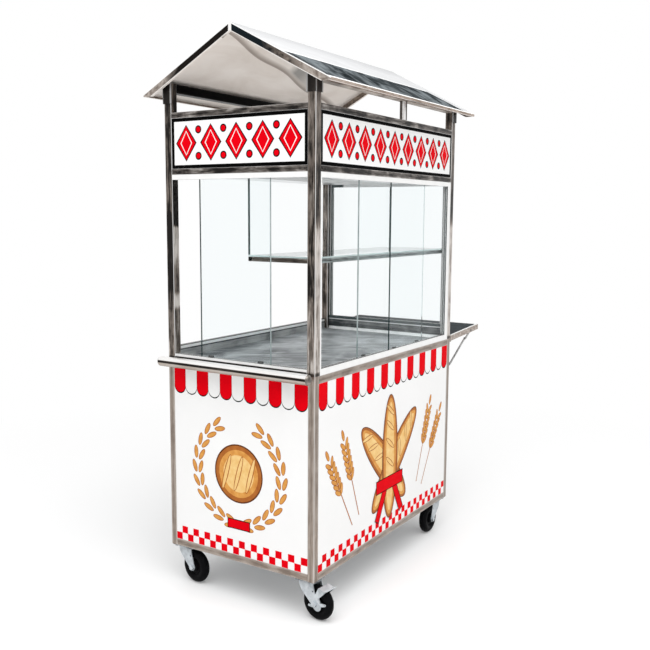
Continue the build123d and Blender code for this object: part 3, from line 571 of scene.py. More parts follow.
def sheet_steel(name, light, dark, grain=(1.0, 1.0, 1.0), turn=0.0, streak=60.0, cloud=9.0, clouds=1.0,
                contrast=1.0, shade=0.5, metallic=0.85, specular=0.5):
    """Brushed sheet whose grain runs along the axis with the small stretch value."""
    return place_group(brushed_sheet, name, grain, turn, metallic, specular, {
        "Light": light, "Dark": dark, "Streak Scale": streak, "Cloud Scale": cloud, "Clouds": clouds,
        "Contrast": contrast, "Shade": shade})


door_steel = sheet_steel("door_steel", (0.58, 0.605, 0.62), (0.22, 0.24, 0.25), (0.05, 1.0, 1.0),
                         streak=220.0, cloud=4.0, clouds=0.3, shade=0.4)
paint(door_steel, "base_floor", "storage_shelf", "shelf_cleats", "door_left", "door_right",
      "door_hinge_barrels")
black_plastic = plain_finish("black_plastic", (0.014, 0.014, 0.014), (0.022, 0.022, 0.023), scale=300.0,
                             rough=0.4, specular=0.4)
paint(black_plastic, "door_left_knob", "door_right_knob")

# Counter sheet of brushed stainless, with two folded upstands on the vendor's side and at the side-shelf end.
# The sheet was rubbed down by hand, so its strokes run aslant. The end upstand is painted dark as shade, with
# a painted highlight on its fold, and the vendor's one grey.
counter_end = 0.466
end_upstand = 0.472
upstand_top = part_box("counter_upstands")[1][2]


def in_seam(spot):
    """1 in the seam below the end upstand."""
    return spot.x.ramp(counter_end, counter_end + 0.001)


def counter_shade(spot):
    """Darker towards the handle end as a painted reflection, and bright in the seam."""
    return spot.x.ramp(-0.25, 0.30, 0.76, 0.34) - in_seam(spot)


def counter_light(spot):
    """The light tone of the sheet, and white in the seam."""
    return in_seam(spot).blend((0.56, 0.59, 0.61), (0.97, 0.97, 0.97))


def upstand_shade(spot):
    """At the end painted dark as shade between a bright foot and a painted highlight on the fold; for the
    vendor grey below a dark line.
    """
    dark_end = spot.z.curve((base_top, 0.0), (base_top + 0.010, 0.0), (base_top + 0.012, 1.0),
                            (upstand_top - 0.012, 0.88), (upstand_top - 0.0045, 0.95),
                            (upstand_top - 0.003, 0.2), (upstand_top, 0.2))
    grey_side = spot.z.curve((base_top, 0.66), (base_top + 0.024, 0.66), (base_top + 0.026, 1.0),
                             (base_top + 0.030, 1.0))
    return spot.x.ramp(end_upstand, end_upstand + 0.010).blend(grey_side, dark_end)


paint(sheet_steel("counter_steel", counter_light, (0.060, 0.071, 0.077), (0.07, 1.0, 1.0), turn=57.5,
                  streak=80.0, clouds=0.75, contrast=0.95, shade=counter_shade, metallic=0.3, specular=0.12),
      "counter_top")
paint(sheet_steel("upstand_steel", (0.92, 0.93, 0.93), (0.045, 0.052, 0.055), (0.1, 0.1, 1.0), streak=120.0,
                  contrast=0.25, shade=upstand_shade, metallic=0.15, specular=0.2), "counter_upstands")

# Upper posts of 30 mm tube and the sign frame of 20 mm rails, welded to each other.
# Their colour carries painted reflections of the dark part of the room, most of all under the roof; the two
# short struts carry brighter painted highlights.
# Pan-head screws hold the ends of the lower sign rails.
post_tube, sign_tube = 0.030, 0.020
half_post, half_sign = post_tube / 2, sign_tube / 2
board_low, board_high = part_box("sign_boards")
board_height = board_high[2] - board_low[2]
sign_top = board_high[2] + sign_tube
post_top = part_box("upper_posts")[1][2]


def post_shade(spot):
    """Painted reflection and shade by height, with its own curves for the faces that look along the cart and
    across it.
    """
    far_end = spot.x.ramp(0.3, 0.4)
    vendor_side = spot.y.ramp(0.1, 0.2)
    handle_face = spot.z.curve((base_top, 0.95), (base_top + 0.007, 0.95), (base_top + 0.012, 0.32),
                               (0.92, 0.40), (1.00, 0.62), (1.07, 0.96), (1.13, 0.96), (1.25, 0.84),
                               (1.36, 0.62), (1.47, 0.74), (1.60, 0.66), (post_top, 0.72))
    handle_face = handle_face + vendor_side * 0.20
    far_face = spot.z.curve((base_top, 0.68), (1.28, 0.70), (1.32, 0.78), (post_top, 0.74))
    end_face = far_end.blend(handle_face, far_face)
    front_face = spot.z.curve((base_top, 0.9), (base_top + 0.008, 0.9), (base_top + 0.014, 0.14),
                              (1.24, 0.14), (1.29, 0.98), (1.42, 0.92), (1.47, 0.62), (1.62, 0.62),
                              (post_top, 0.90))
    back_face = spot.z.curve((base_top, 0.40), (0.90, 0.40), (0.965, 0.84), (0.985, 0.0), (1.015, 0.0),
                             (1.03, 0.52), (1.11, 0.34), (1.15, 0.02), (1.245, -0.1), (1.255, 1.2),
                             (1.42, 1.1), (post_top, 0.9))
    side_face = vendor_side.blend(front_face, far_end.blend(back_face, far_face))
    return abs(spot.face_y).ramp(0.5, 0.9).blend(end_face, side_face)


post_across = across_posts(cart_half_x - half_post, cart_half_y - half_post, half_post)
paint(tube_steel("upper_upright", upright_grain, post_across, post_shade, contrast=0.8, patches=0.45,
                 core=0.08, corner=0.95, light=(0.64, 0.590, 0.55), middle=(0.210, 0.176, 0.151)),
      "upper_posts")

strut_edge = 0.065


def on_strut(spot, on_rails=0.0, on_struts=1.0):
    """One value on the rails, and another on the struts above them."""
    return spot.z.ramp(sign_top + 0.0005, sign_top + 0.002, on_rails, on_struts)


def sign_shade(spot):
    """Painted reflection: dark rails, and above them struts with a painted highlight along their outer edge
    towards the handle.
    """
    inwards = (spot.x - strut_edge).most(cart_half_y - abs(spot.y))
    strut = inwards.curve((0.0, 0.0), (0.008, 0.0), (0.010, 0.70), (0.020, 0.90))
    return on_strut(spot).blend((0.64, 0.64, 0.64), strut)


def sign_light(spot):
    """The light tone of the rails, and the brighter one of the struts, a painted highlight."""
    return on_strut(spot).blend((0.52, 0.49, 0.465), (0.92, 0.915, 0.91))


sign_middle = (board_low[2] + board_high[2]) / 2
sign_across = across_rails(sign_middle, board_height / 2 + half_sign, half_sign)
paint(tube_steel("sign_level", level_grain, sign_across, sign_shade, core=0.16, corner=0.85, light=sign_light,
                 contrast=lambda spot: on_strut(spot, 0.60, 0.08),
                 patches=lambda spot: on_strut(spot, 0.85, 0.08), middle=(0.140, 0.124, 0.112)), "sign_frame")
screw_steel = plain_finish("screw_steel", (0.030, 0.027, 0.025), (0.075, 0.068, 0.062), scale=400.0,
                           rough=0.4)


def screw_head(radius, height):
    """A pan-head screw seen from above: a rounded disc with a sunk recess."""
    bpy.ops.object.select_all(action="DESELECT")
    bpy.ops.mesh.primitive_cylinder_add(vertices=16, radius=radius, depth=height,
                                        location=(0.0, 0.0, height / 2))
    head = bpy.context.object
    fix_place(head)
    head.data.materials.append(screw_steel)
    shape(head)
    pick(head, "FACE", lambda face: face.normal.z > 0.9)
    bpy.ops.mesh.bevel(offset=height * 0.45, segments=2, affect="EDGES")
    pick(head, "FACE", lambda face: face.normal.z > 0.9 and face.center.length < height * 1.1)
    bpy.ops.mesh.inset(thickness=radius * 0.3)
    bpy.ops.mesh.extrude_region_move(TRANSFORM_OT_translate={"value": (0.0, 0.0, -height * 0.5)})
    shaped()
    return head


back_view = Matrix.Rotation(math.pi, 4, "Z") @ front_view
shelf_view = Matrix.Rotation(math.pi, 4, "Z") @ end_view
screw_radius, screw_height, screw_gap = 0.0032, 0.0016, 0.00005
screw_insets = (0.010, 0.026)
screw_middle = Matrix.Translation((cart_x, 0.0, board_low[2] - half_sign))
screw_places = []
for view in (front_view, back_view, end_view, shelf_view):
    long_side = view in (front_view, back_view)
    reach_out, reach_along = (cart_half_y, cart_half_x) if long_side else (cart_half_x, cart_half_y)
    for side in (-1, 1):
        for inset in screw_insets:
            along = side * (reach_along - post_tube - inset)
            screw_places.append(screw_middle @ view @ Matrix.Translation((along, 0.0, reach_out + screw_gap)))
sign_screws = join_as("sign_screws", copies(screw_head(screw_radius, screw_height), screw_places))
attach(sign_screws, "cart")

# Sign boards: white sheet with a black printed border, held between the sign rails.
# The two boards that face the customers carry a row of printed lozenges.
paint(skin_white, "sign_boards")
border = 0.011
end_width, front_width = 2 * (cart_half_y - post_tube), 2 * (cart_half_x - post_tube)
end_board = Matrix.Translation((board_low[0], 0.0, sign_middle)) @ end_view
front_board = Matrix.Translation((cart_x, board_low[1], sign_middle)) @ front_view
back_board = Matrix.Translation((cart_x, board_high[1], sign_middle)) @ back_view
shelf_board = Matrix.Translation((board_high[0], 0.0, sign_middle)) @ shelf_view


def board_border(width):
    """A rectangular ring of black film."""
    ring = strip(width, board_height, (print_black, print_white), border)
    shape(ring)
    pick(ring, "FACE", lambda face: abs(face.center.x) < 0.01 and abs(face.center.y) < 0.01)
    bpy.ops.mesh.delete(type="FACE")
    shaped()
    return ring


for name, board, width in (("end", end_board, end_width), ("front", front_board, front_width),
                           ("back", back_board, front_width), ("shelf", shelf_board, end_width)):
    lay_film(name + "_board_border", [board_border(width)], board, 0)
lozenge_colours = (print_black, print_red, print_white, print_red)
lozenge_width, lozenge_height, lozenge_bands = 0.088, 0.118, (0.005, 0.014, 0.004)
dot_size, dot_rim, dot_up = 0.026, 0.004, 0.042
for name, board, width, count in (("end", end_board, end_width, 5), ("front", front_board, front_width, 9)):
    spacing = (width - 2 * border) / count
    lozenge = oval(lozenge_width, lozenge_height, lozenge_bands, lozenge_colours, points=4)
    middles = [(place - (count - 1) / 2) * spacing for place in range(count)]
    lozenges = copies(lozenge, [flat_at(across, 0.0) for across in middles])
    lay_film(name + "_board_lozenges", lozenges, board, 0)
    dot = oval(dot_size, dot_size, (dot_rim,), (print_black, print_red), points=20)
    between = [(first + second) / 2 for first, second in zip(middles, middles[1:])]
    dots = copies(dot, [flat_at(across, up) for across in between for up in (-dot_up, dot_up)])
    lay_film(name + "_board_dots", dots, board, 0)

# Ceiling sheet under the lower sign rails, two long roof beams, two folded roof sheets, and corner straps
# painted dark as shade. The roof sheets are pale above, with a strip along the eaves that carries a painted
# reflection of the dark room, and warm and cloudy below as painted reflection, with one wavy fold and a
# painted shadow beside it. Their gable lips carry painted reflections: black near the ridge, and grey towards
# the eaves.
paint(sheet_steel("ceiling_steel", (0.95, 0.955, 0.955), (0.84, 0.85, 0.85), (0.2, 1.0, 1.0), cloud=5.0,
                  contrast=0.4, shade=0.25, metallic=1.0), "ceiling_sheet")


def beam_shade(spot):
    """Painted reflection and shade: warm on the beam over the customers, and black on the vendor's."""
    return spot.y.ramp(-0.1, 0.1, 0.34, 1.3)


beam_low, beam_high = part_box("roof_beams")
beam_across = across_rails((beam_low[2] + beam_high[2]) / 2, 0.0, (beam_high[2] - beam_low[2]) / 2)
paint(tube_steel("beam_steel", level_grain, beam_across, beam_shade, contrast=0.5, core=0.1, corner=0.1,
                 dark=(0.002, 0.002, 0.002), metallic=0.2, specular=0.02), "roof_beams")
strap_sheet = 0.003
half_strap = half_post + strap_sheet / 2
strap_inset = half_strap - strap_sheet
strap_across = across_posts(cart_half_x - strap_inset, cart_half_y - strap_inset, half_strap)
# The straps are painted near black as shade under the roof.
paint(tube_steel("strap_steel", upright_grain, strap_across, 0.6, contrast=0.5, core=0.1, corner=0.45,
                 light=(0.10, 0.088, 0.078), middle=(0.018, 0.015, 0.013), metallic=0.3, specular=0.1),
      "roof_brackets")

roof_low, roof_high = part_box("roof_slope_front")
ridge, eave_reach = roof_high[2], -roof_low[1]
roof_pitch = 27.7
roof_slope = math.tan(math.radians(roof_pitch))
roof_sheet, shader = new_material("roof_sheet", 0.0, 0.36, 0.0)
spot = Spot(roof_sheet)
out_y = abs(spot.y)
cloudy = spot.place.stretch((0.5, 1.0, 1.0)).noise(8.0, 4.0, 0.55, 0.8).ramp(0.36, 0.64)
streaky = spot.place.stretch((0.16, 1.0, 1.0), 12.0).noise(48.0, 4.0, 0.6, 0.6).ramp(0.34, 0.66)

strip_edge, strip_end = 0.199, 0.452
# Painted reflection on top: pale streaks, greyer near the ridge.
top_colour = streaky.blend((0.60, 0.603, 0.610), (0.53, 0.533, 0.540))
top_colour = out_y.ramp(0.0, 0.10, 1.0, 0.0).blend(top_colour, (0.48, 0.483, 0.490))
past_edge = out_y + spot.place.noise(9.0, 2.0).ramp(0.3, 0.7, -0.003, 0.003) - strip_edge
inside_end = spot.x.ramp(strip_end, strip_end - 0.003)
# A painted highlight along the inner edge of the eave strip.
bright_line = past_edge.ramp(-0.010, -0.008) * inside_end
top_colour = bright_line.blend(top_colour, (0.80, 0.80, 0.80))
# The eave strip is a marbled painted reflection of the dark room.
slanted = spot.place.stretch((0.18, 1.0, 1.0), -55.0).noise(15.0, 3.0, 0.55, 0.5).ramp(0.43, 0.62, 0.0, 0.7)
marbled = (slanted + streaky * 0.3).blend((0.008, 0.011, 0.013), (0.19, 0.213, 0.226))
in_strip = past_edge.ramp(-0.001, 0.001) * inside_end
top_colour = in_strip.blend(top_colour, marbled)
# A painted highlight along the eave fold.
top_colour = out_y.ramp(eave_reach - 0.014, eave_reach - 0.010).blend(top_colour, (0.90, 0.90, 0.895))

fold_start, fold_slant, fold_wave, fold_turns, fold_shift = 0.154, 0.221, 0.006, 15.0, 0.89
# Below: cloudy painted reflection, a painted shadow beside the wavy fold and a grey painted reflection patch.
under_colour = cloudy.blend((0.95, 0.90, 0.855), (0.84, 0.775, 0.72))
phase = spot.x * fold_turns - fold_shift
past_fold = spot.y - (spot.x * fold_slant + fold_start + phase.wave() * fold_wave)
shadow = past_fold.ramp(-0.024, -0.006, 0.0, 0.68) * past_fold.ramp(-0.001, 0.001, 1.0, 0.0)
under_colour = shadow.blend(under_colour, (0.20, 0.155, 0.125))
reflection_patch = spot.x.ramp(-0.05, 0.01, 0.0, 0.8) * past_fold.ramp(-0.012, -0.024) * spot.x.ramp(0.22, 0.05)
under_colour = reflection_patch.blend(under_colour, (0.26, 0.26, 0.255))
below = spot.face_z.ramp(0.0, -0.3)
sheet_colour = below.blend(top_colour, under_colour)

# Gable lips: painted reflections, black near the ridge and grey towards the eaves, with painted highlights
# along their edges and the ridge.
lip_drop = ridge - (spot.z + out_y * roof_slope)
fade = out_y + lip_drop * -1.2
grey_lip = streaky.blend((0.46, 0.41, 0.37), (0.17, 0.14, 0.12))
brown_lip = streaky.blend(near_black, (0.20, 0.165, 0.14))
front_lip = fade.ramp(0.10, 0.18).blend((0.009, 0.013, 0.016), brown_lip)
dark_lip = spot.y.ramp(-0.01, 0.01).blend(front_lip, near_black)
outer_lip = fade.ramp(0.20, 0.27).blend(dark_lip, grey_lip)
outer_lip = lip_drop.ramp(0.0232, 0.0245).blend(outer_lip, (0.78, 0.75, 0.72))
outer_lip = lip_drop.ramp(0.0040, 0.0030).blend(outer_lip, (0.88, 0.875, 0.87))
outer_lip = out_y.ramp(0.007, 0.005).blend(outer_lip, (0.80, 0.79, 0.78))
inner_lip = streaky.blend((0.36, 0.295, 0.245), (0.13, 0.105, 0.088))
lip_colour = (spot.face_x * spot.x).ramp(0.0, 0.05).blend(inner_lip, outer_lip)
eave_colour = streaky.blend((0.52, 0.44, 0.385), (0.24, 0.19, 0.155))
sheet_colour = abs(spot.face_y).ramp(0.65, 0.85).blend(sheet_colour, eave_colour)
fill(shader["Base Color"], abs(spot.face_x).ramp(0.5, 0.8).blend(sheet_colour, lip_colour))
fill(shader["Metallic"], below.ramp(0.0, 1.0, 0.0, 0.15))
paint(roof_sheet, "roof_slope_front", "roof_slope_back")

# White powder-coated channels that hold and guide the glass. Each track has two grooves, black with shadow
# and dirt. At the side-shelf end the inner sides of the jamb and channels are painted dark, and the handle
# end has a painted shadow line low on its face.
track_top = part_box("lower_tracks")[1][2]
track_half, groove_start, groove_end = 0.010, 0.0008, 0.0082
gap_shadow_x, gap_shadow_drop = -0.498, 0.0075
jamb_x, jamb_front_y = 0.440, -0.276
channel_near_y, channel_far_y, channel_sill = 0.20, 0.2655, 0.856
trim_y, trim_z = 0.280, 0.8372
track_white, shader = new_material("track_white", 0.0, 0.35, 0.3)
spot = Spot(track_white)
colour = spot.place.noise(30.0).ramp(0.3, 0.7).blend((0.88, 0.88, 0.87), (0.82, 0.82, 0.815))
from_middle = abs((spot.x + cart_half_x).least(spot.y + cart_half_y) - track_half)
groove = from_middle.ramp(groove_start - 0.0001, groove_start + 0.0001)
groove = groove * from_middle.ramp(groove_end - 0.0001, groove_end + 0.0001, 1.0, 0.0)
groove = groove * spot.z.ramp(track_top - 0.0003, track_top - 0.0001, 1.0, 0.0)
colour = groove.blend(colour, (0.016, 0.017, 0.017))
handle_facing = spot.face_x.ramp(-0.5, -0.9)
# A painted shadow line low on the handle-end face of the track, where it meets the rail.
gap_shadow = handle_facing * spot.x.ramp(gap_shadow_x, gap_shadow_x - 0.0015)
gap_shadow = gap_shadow * spot.z.ramp(track_top - gap_shadow_drop, track_top - gap_shadow_drop - 0.001)
colour = gap_shadow.blend(colour, (0.020, 0.017, 0.015))
trim_line = spot.y.ramp(trim_y, trim_y + 0.002) * spot.z.ramp(trim_z, trim_z + 0.0004)
colour = trim_line.blend(colour, (0.080, 0.080, 0.078))
far_side = spot.y.ramp(channel_far_y, channel_far_y - 0.001)
far_side = far_side * spot.y.ramp(channel_near_y, channel_near_y + 0.01)
sill = spot.z.ramp(channel_sill, channel_sill - 0.001)
dark_inner_sides = spot.y.ramp(jamb_front_y, jamb_front_y - 0.003).most(far_side.most(sill))
# Painted dark on the inner sides at the side-shelf end.
dark_inner_face = handle_facing * spot.x.ramp(jamb_x, jamb_x + 0.002) * spot.z.ramp(track_top, track_top + 0.001)
fill(shader["Base Color"], (dark_inner_face * dark_inner_sides).blend(colour, (0.060, 0.080, 0.082)))
paint(track_white, "lower_tracks", "upper_tracks", "jamb_channels", "glazing_channels")

# Sliding panes and fixed pane of 5 mm float glass, and an 8 mm divider: clear through the faces, grey-teal
# along the cut edges. The ground edges are thin facings of their own, and each sliding pane stands in small
# dark shoes that glide along the track.


def float_glass(name, axis):
    """Glass whose broad faces look along one axis; the other faces are its cut edges."""
    material, shader = new_material(name, 0.0, 0.0, 0.5)
    tree = material.node_tree
    spot = Spot(material)
    broad = abs((spot.face_x, spot.face_y, spot.face_z)[axis])
    fill(shader["Base Color"], broad.blend((0.40, 0.50, 0.50), (0.970, 0.987, 0.990)))
    shader["IOR"].default_value = 1.12
    shader["Transmission Weight"].default_value = 1.0
    path = tree.nodes.new("ShaderNodeLightPath").outputs
    mixed = put(tree, "ShaderNodeMixShader", Fac=Tone(path["Is Shadow Ray"]))
    clear = put(tree, "ShaderNodeBsdfTransparent", Color=(0.95, 0.97, 0.97))
    tree.links.new(tree.nodes["Principled BSDF"].outputs["BSDF"], mixed.inputs[1])
    tree.links.new(clear.outputs["BSDF"], mixed.inputs[2])
    tree.links.new(mixed.outputs["Shader"], tree.nodes["Material Output"].inputs["Surface"])
    return material


def edge_paint(name, colour, second):
    """Ground glass edge: teal with lighter and darker stretches along it."""
    return plain_finish(name, colour, second, scale=9.0, rough=0.25, specular=0.4, detail=3.0, spread=0.15)


paint(float_glass("front_glass", 1), "front_pane_outer", "front_pane_inner", "divider_glass")
paint(float_glass("end_glass", 0), "end_pane_outer", "end_pane_inner", "fixed_glass")
# Three copies of one ground edge in painted light and shade: a lit one, a shaded one and a brightly lit pale
# one.
edge_light = edge_paint("edge_light", (0.40, 0.46, 0.46), (0.22, 0.28, 0.28))
edge_dark = edge_paint("edge_dark", (0.012, 0.028, 0.028), (0.050, 0.078, 0.078))
edge_pale = edge_paint("edge_pale", (0.56, 0.66, 0.65), (0.36, 0.46, 0.46))
glide_black = plain_finish("glide_black", (0.030, 0.031, 0.031), (0.13, 0.135, 0.135), scale=240.0,
                           rough=0.4, specular=0.3)


def facing_bar(low, high, material):
    """A thin bar between two corners, with its long edges eased."""
    bpy.ops.object.select_all(action="DESELECT")
    bpy.ops.mesh.primitive_cube_add(size=1.0)
    bar = bpy.context.object
    bar.dimensions = [end - start for start, end in zip(low, high)]
    bar.location = [(end + start) / 2 for start, end in zip(low, high)]
    fix_place(bar)
    bar.data.materials.append(material)
    shape(bar)
    bpy.ops.mesh.bevel(offset=min(bar.dimensions) * 0.25, segments=1, affect="EDGES")
    shaped()
    return bar


def span(face, side, near, far):
    """The stretch from near to far outside a face, lower end first."""
    return sorted((face + side * near, face + side * far))


edge_cover, edge_gap, edge_sunk, edge_ends = 0.0006, 0.00004, 0.0006, 0.0006
shoe_length, shoe_height, shoe_cheek, shoe_inset, shoe_lift = 0.020, 0.0055, 0.0011, 0.040, 0.0007
track_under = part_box("upper_tracks")[0][2]
for name, slide, material in (("front_pane_outer", 0, edge_dark), ("front_pane_inner", 0, edge_light),
                              ("end_pane_outer", 1, edge_light), ("end_pane_inner", 1, edge_light)):
    thick = 1 - slide
    pane_low, pane_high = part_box(name)
    edges, shoes = [], []
    for side, edge in ((-1, pane_low[slide]), (1, pane_high[slide])):
        low, high = list(pane_low), list(pane_high)
        low[2], high[2] = track_top + edge_ends, track_under - edge_ends
        start = -edge_sunk if slide == 1 else edge_gap
        low[slide], high[slide] = span(edge, side, start, edge_gap + edge_cover)
        if slide == 1 or side == -1:
            edges.append(facing_bar(low, high, edge_dark if side == slide else material))
        for cheek, face in ((-1, pane_low[thick]), (1, pane_high[thick])):
            low, high = list(pane_low), list(pane_high)
            low[2], high[2] = track_top + shoe_lift, track_top + shoe_lift + shoe_height
            middle = edge - side * shoe_inset
            low[slide], high[slide] = middle - shoe_length / 2, middle + shoe_length / 2
            low[thick], high[thick] = span(face, cheek, edge_gap, edge_gap + shoe_cheek)
            shoes.append(facing_bar(low, high, glide_black))
    ground = join_as(name + "_edges", edges)
    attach(ground, name)
    glides = join_as(name + "_glides", shoes)
    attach(glides, name)
divider_foot = 0.006
divider_low, divider_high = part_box("divider_glass")
divider_edges = []
for side, edge in ((-1, divider_low[0]), (1, divider_high[0])):
    low, high = list(divider_low), list(divider_high)
    low[2] += divider_foot
    low[0], high[0] = span(edge, side, edge_gap, edge_gap + edge_cover)
    divider_edges.append(facing_bar(low, high, edge_dark))
divider_ground = join_as("divider_edges", divider_edges)
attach(divider_ground, "cart")

# Display shelf: a glass sheet on a light tube frame between the posts.
# Its ground front and end edges are painted pale as lit edges over the dark tube, and its back edge is
# painted dark as shade.
shelf_low, shelf_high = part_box("display_shelf_frame")
shelf_across = across_rails((shelf_low[2] + shelf_high[2]) / 2, 0.0, (shelf_high[2] - shelf_low[2]) / 2)


def shelf_middle(spot):
    """Painted reflection: warm on the ends, and cool grey along the front."""
    return abs(spot.face_y).ramp(0.5, 0.9).blend((0.105, 0.088, 0.074), (0.27, 0.315, 0.315))


paint(tube_steel("shelf_tube", level_grain, shelf_across, 0.56, contrast=0.45, corner=0.5,
                 light=(0.50, 0.50, 0.49), middle=shelf_middle), "display_shelf_frame")
paint(float_glass("shelf_glass", 2), "display_shelf_glass")
bread_low, bread_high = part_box("display_shelf_glass")
edge_rise, back_rise, back_inset = 0.0003, 0.0004, 0.002
front_low = (bread_low[0], bread_low[1] - edge_gap - edge_cover, bread_low[2] + edge_rise)
front_high = (bread_high[0], bread_low[1] - edge_gap, bread_high[2])
end_low = (bread_low[0] - edge_gap - edge_cover, bread_low[1], bread_low[2] + edge_rise)
end_high = (bread_low[0] - edge_gap, bread_high[1], bread_high[2])
back_low = (bread_low[0] + back_inset, bread_high[1] - edge_sunk, bread_low[2] + back_rise)
back_high = (bread_high[0] - back_inset, bread_high[1] - edge_gap, bread_high[2] - back_rise)
shelf_ground = join_as("display_shelf_edges", [facing_bar(front_low, front_high, edge_pale),
                                               facing_bar(end_low, end_high, edge_pale),
                                               facing_bar(back_low, back_high, edge_dark)])
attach(shelf_ground, "cart")

# Push handle: a round polished tube on two welded brackets, closed by domed end caps.
# Its colour is a painted reflection: the upper side mirrors the sky, with one black line below, and its lower
# side is warm.
# A round tube has no corners, so every spot counts as half way across.
handle_low, handle_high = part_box("handle_tube")
handle_middle, handle_radius = (handle_low[2] + handle_high[2]) / 2, (handle_high[2] - handle_low[2]) / 2


def handle_shade(spot):
    """Painted reflection and shade by height across the round tube."""
    height = (spot.z - handle_middle) / handle_radius
    return height.curve((-1.0, 0.90), (-0.85, 0.50), (-0.20, 0.40), (-0.12, 1.0), (0.28, 1.0), (0.36, 0.0),
                        (1.0, 0.0))


paint(tube_steel("handle_steel", (1.0, 0.05, 1.0), 0.5, handle_shade, contrast=0.14, patches=0.06, core=0.0,
                 corner=0.0, light=(0.90, 0.89, 0.88), middle=(0.40, 0.335, 0.28)), "handle_tube")
paint(sheet_steel("cap_steel", (0.46, 0.42, 0.38), (0.05, 0.044, 0.038), contrast=0.8), "handle_caps",
      "handle_brackets")

# Side shelf: a folded tray on a piano hinge, held level by two folding stays of flat bar.
# Its flat top carries a painted reflection of the dark part of the room, and its folded rims carry painted
# highlights.
tray_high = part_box("side_shelf")[1]
shelf_sheet, shader = new_material("shelf_sheet", 0.1, 0.55, 0.03)
spot = Spot(shelf_sheet)
streaky = spot.place.stretch((1.0, 0.06, 1.0)).noise(140.0).ramp(0.35, 0.65)
rim_colour = streaky.blend((0.56, 0.50, 0.455), (0.27, 0.225, 0.195))
# The dark top is a painted reflection, and the bright band along its edges a painted highlight.
tray_colour = streaky.blend((0.034, 0.043, 0.048), (0.014, 0.019, 0.022))
flat = spot.face_z.ramp(0.6, 0.9)
from_rim = (tray_high[1] - abs(spot.y)).least(tray_high[0] - cart_x - spot.x)
rim_highlight = flat * from_rim.ramp(0.011, 0.008)
fill(shader["Base Color"], rim_highlight.blend(flat.blend(rim_colour, tray_colour), (0.84, 0.84, 0.83)))
paint(shelf_sheet, "side_shelf")
paint(sheet_steel("stay_steel", (0.46, 0.455, 0.45), (0.10, 0.098, 0.095)), "shelf_hinge_leaf",
      "shelf_hinge_pin", "stay_lower_links", "stay_upper_links", "stay_brackets")

# Casters: pressed forks, plates, bolts and brake pedals of zinc-plated steel.
# The wheels have round tyres of black rubber on a plain core, turned as one smooth round.
race_drop = 0.004


def zinc_shade(spot):
    """Painted light and shade: bright where it faces up, grey on upright faces, and dark below and close to
    the frame.
    """
    shade = spot.face_z.curve((-1.0, 0.95), (-0.3, 0.70), (0.0, 0.28), (0.5, 0.12), (1.0, 0.06))
    return shade + spot.z.ramp(base_bottom - 0.040, base_bottom - 0.008, 0.0, 0.30)


def race_shade(spot):
    """Painted shade: the ball race below each plate is darkest, and the plate is darker in the shade of the
    frame.
    """
    return spot.z.ramp(base_bottom - race_drop - 0.0015, base_bottom - race_drop, 1.3, 0.75)


zinc_plate = sheet_steel("zinc_plate", (0.70, 0.745, 0.775), (0.07, 0.085, 0.098), cloud=24.0, contrast=0.34,
                         shade=zinc_shade, metallic=0.6, specular=0.3)
for name in nodes:
    if name.startswith(("fork_", "axle_", "pedal_", "caster_bolts")):
        paint(zinc_plate, name)
paint(sheet_steel("plate_zinc", (0.76, 0.79, 0.81), (0.030, 0.032, 0.034), cloud=24.0, contrast=0.4,
                  shade=race_shade), "caster_plates")
paint(base_level, "caster_pads")
black_rubber = plain_finish("black_rubber", (0.002, 0.002, 0.002), (0.006, 0.006, 0.007), scale=220.0,
                            rough=0.4, specular=0.03)
tyre_radius, tyre_width = 0.058, 0.032
core_points = ((0.019, 0.008), (0.018, 0.018), (0.009, 0.019), (0.009, 0.024), (0.007, 0.031))
tread_points, tread_start, tread_sweep = 15, -62.0, 152.0


def turned_wheel(name):
    """A wheel spun from its half outline, about the Y axis at the origin."""
    bpy.ops.object.select_all(action="DESELECT")
    bpy.ops.mesh.primitive_plane_add(size=0.001)
    wheel = bpy.context.object
    wheel.name = name
    wheel.data.name = name
    half = tyre_width / 2
    outline = [(radius, side) for side, radius in core_points]
    for count in range(tread_points):
        sweep = math.radians(tread_start + count * tread_sweep / (tread_points - 1))
        outline.append((tyre_radius - half + half * math.sin(sweep), half * math.cos(sweep)))
    outline += [(radius, -side) for radius, side in reversed(outline)]
    shape(wheel)
    bpy.ops.mesh.select_mode(type="VERT")
    bpy.ops.mesh.select_all(action="SELECT")
    bpy.ops.mesh.merge(type="CENTER")
    bpy.ops.transform.translate(value=(0.0, outline[0][1], outline[0][0]))
    for (radius, side), (next_radius, next_side) in zip(outline, outline[1:]):
        step = (0.0, next_side - side, next_radius - radius)
        bpy.ops.mesh.extrude_region_move(TRANSFORM_OT_translate={"value": step})
    bpy.ops.mesh.select_all(action="SELECT")
    bpy.ops.mesh.spin(steps=72, angle=2.0 * math.pi, center=(0.0, 0.0, 0.0), axis=(0.0, 1.0, 0.0))
    bpy.ops.mesh.select_all(action="SELECT")
    bpy.ops.mesh.remove_doubles(threshold=0.00001)
    bpy.ops.mesh.normals_make_consistent(inside=False)
    shaped()
    only(wheel)
    bpy.ops.object.shade_smooth_by_angle(angle=math.radians(32.0))
    wheel.data.materials.append(black_rubber)
    return wheel


for joint in frame["record"]["behaviour"]["joints"]:
    if joint["name"].startswith("roll_"):
        body = joint["child"]
        wheel = turned_wheel(body + "_tyre")
        turn = Vector((0.0, 1.0, 0.0)).rotation_difference(Vector(joint["axis"]))
        wheel.matrix_world = Matrix.Translation(joint["pos_m"]) @ turn.to_matrix().to_4x4()
        fix_place(wheel)
        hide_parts(body)
        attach(wheel, body)

# Pale floor, white surroundings, soft studio light and the camera at the photograph's angle.
# The floor keeps the cart's shadow, and fades to white away from it. A weak fill light opens the shade under
# the roof.
white = (1.0, 1.0, 1.0)


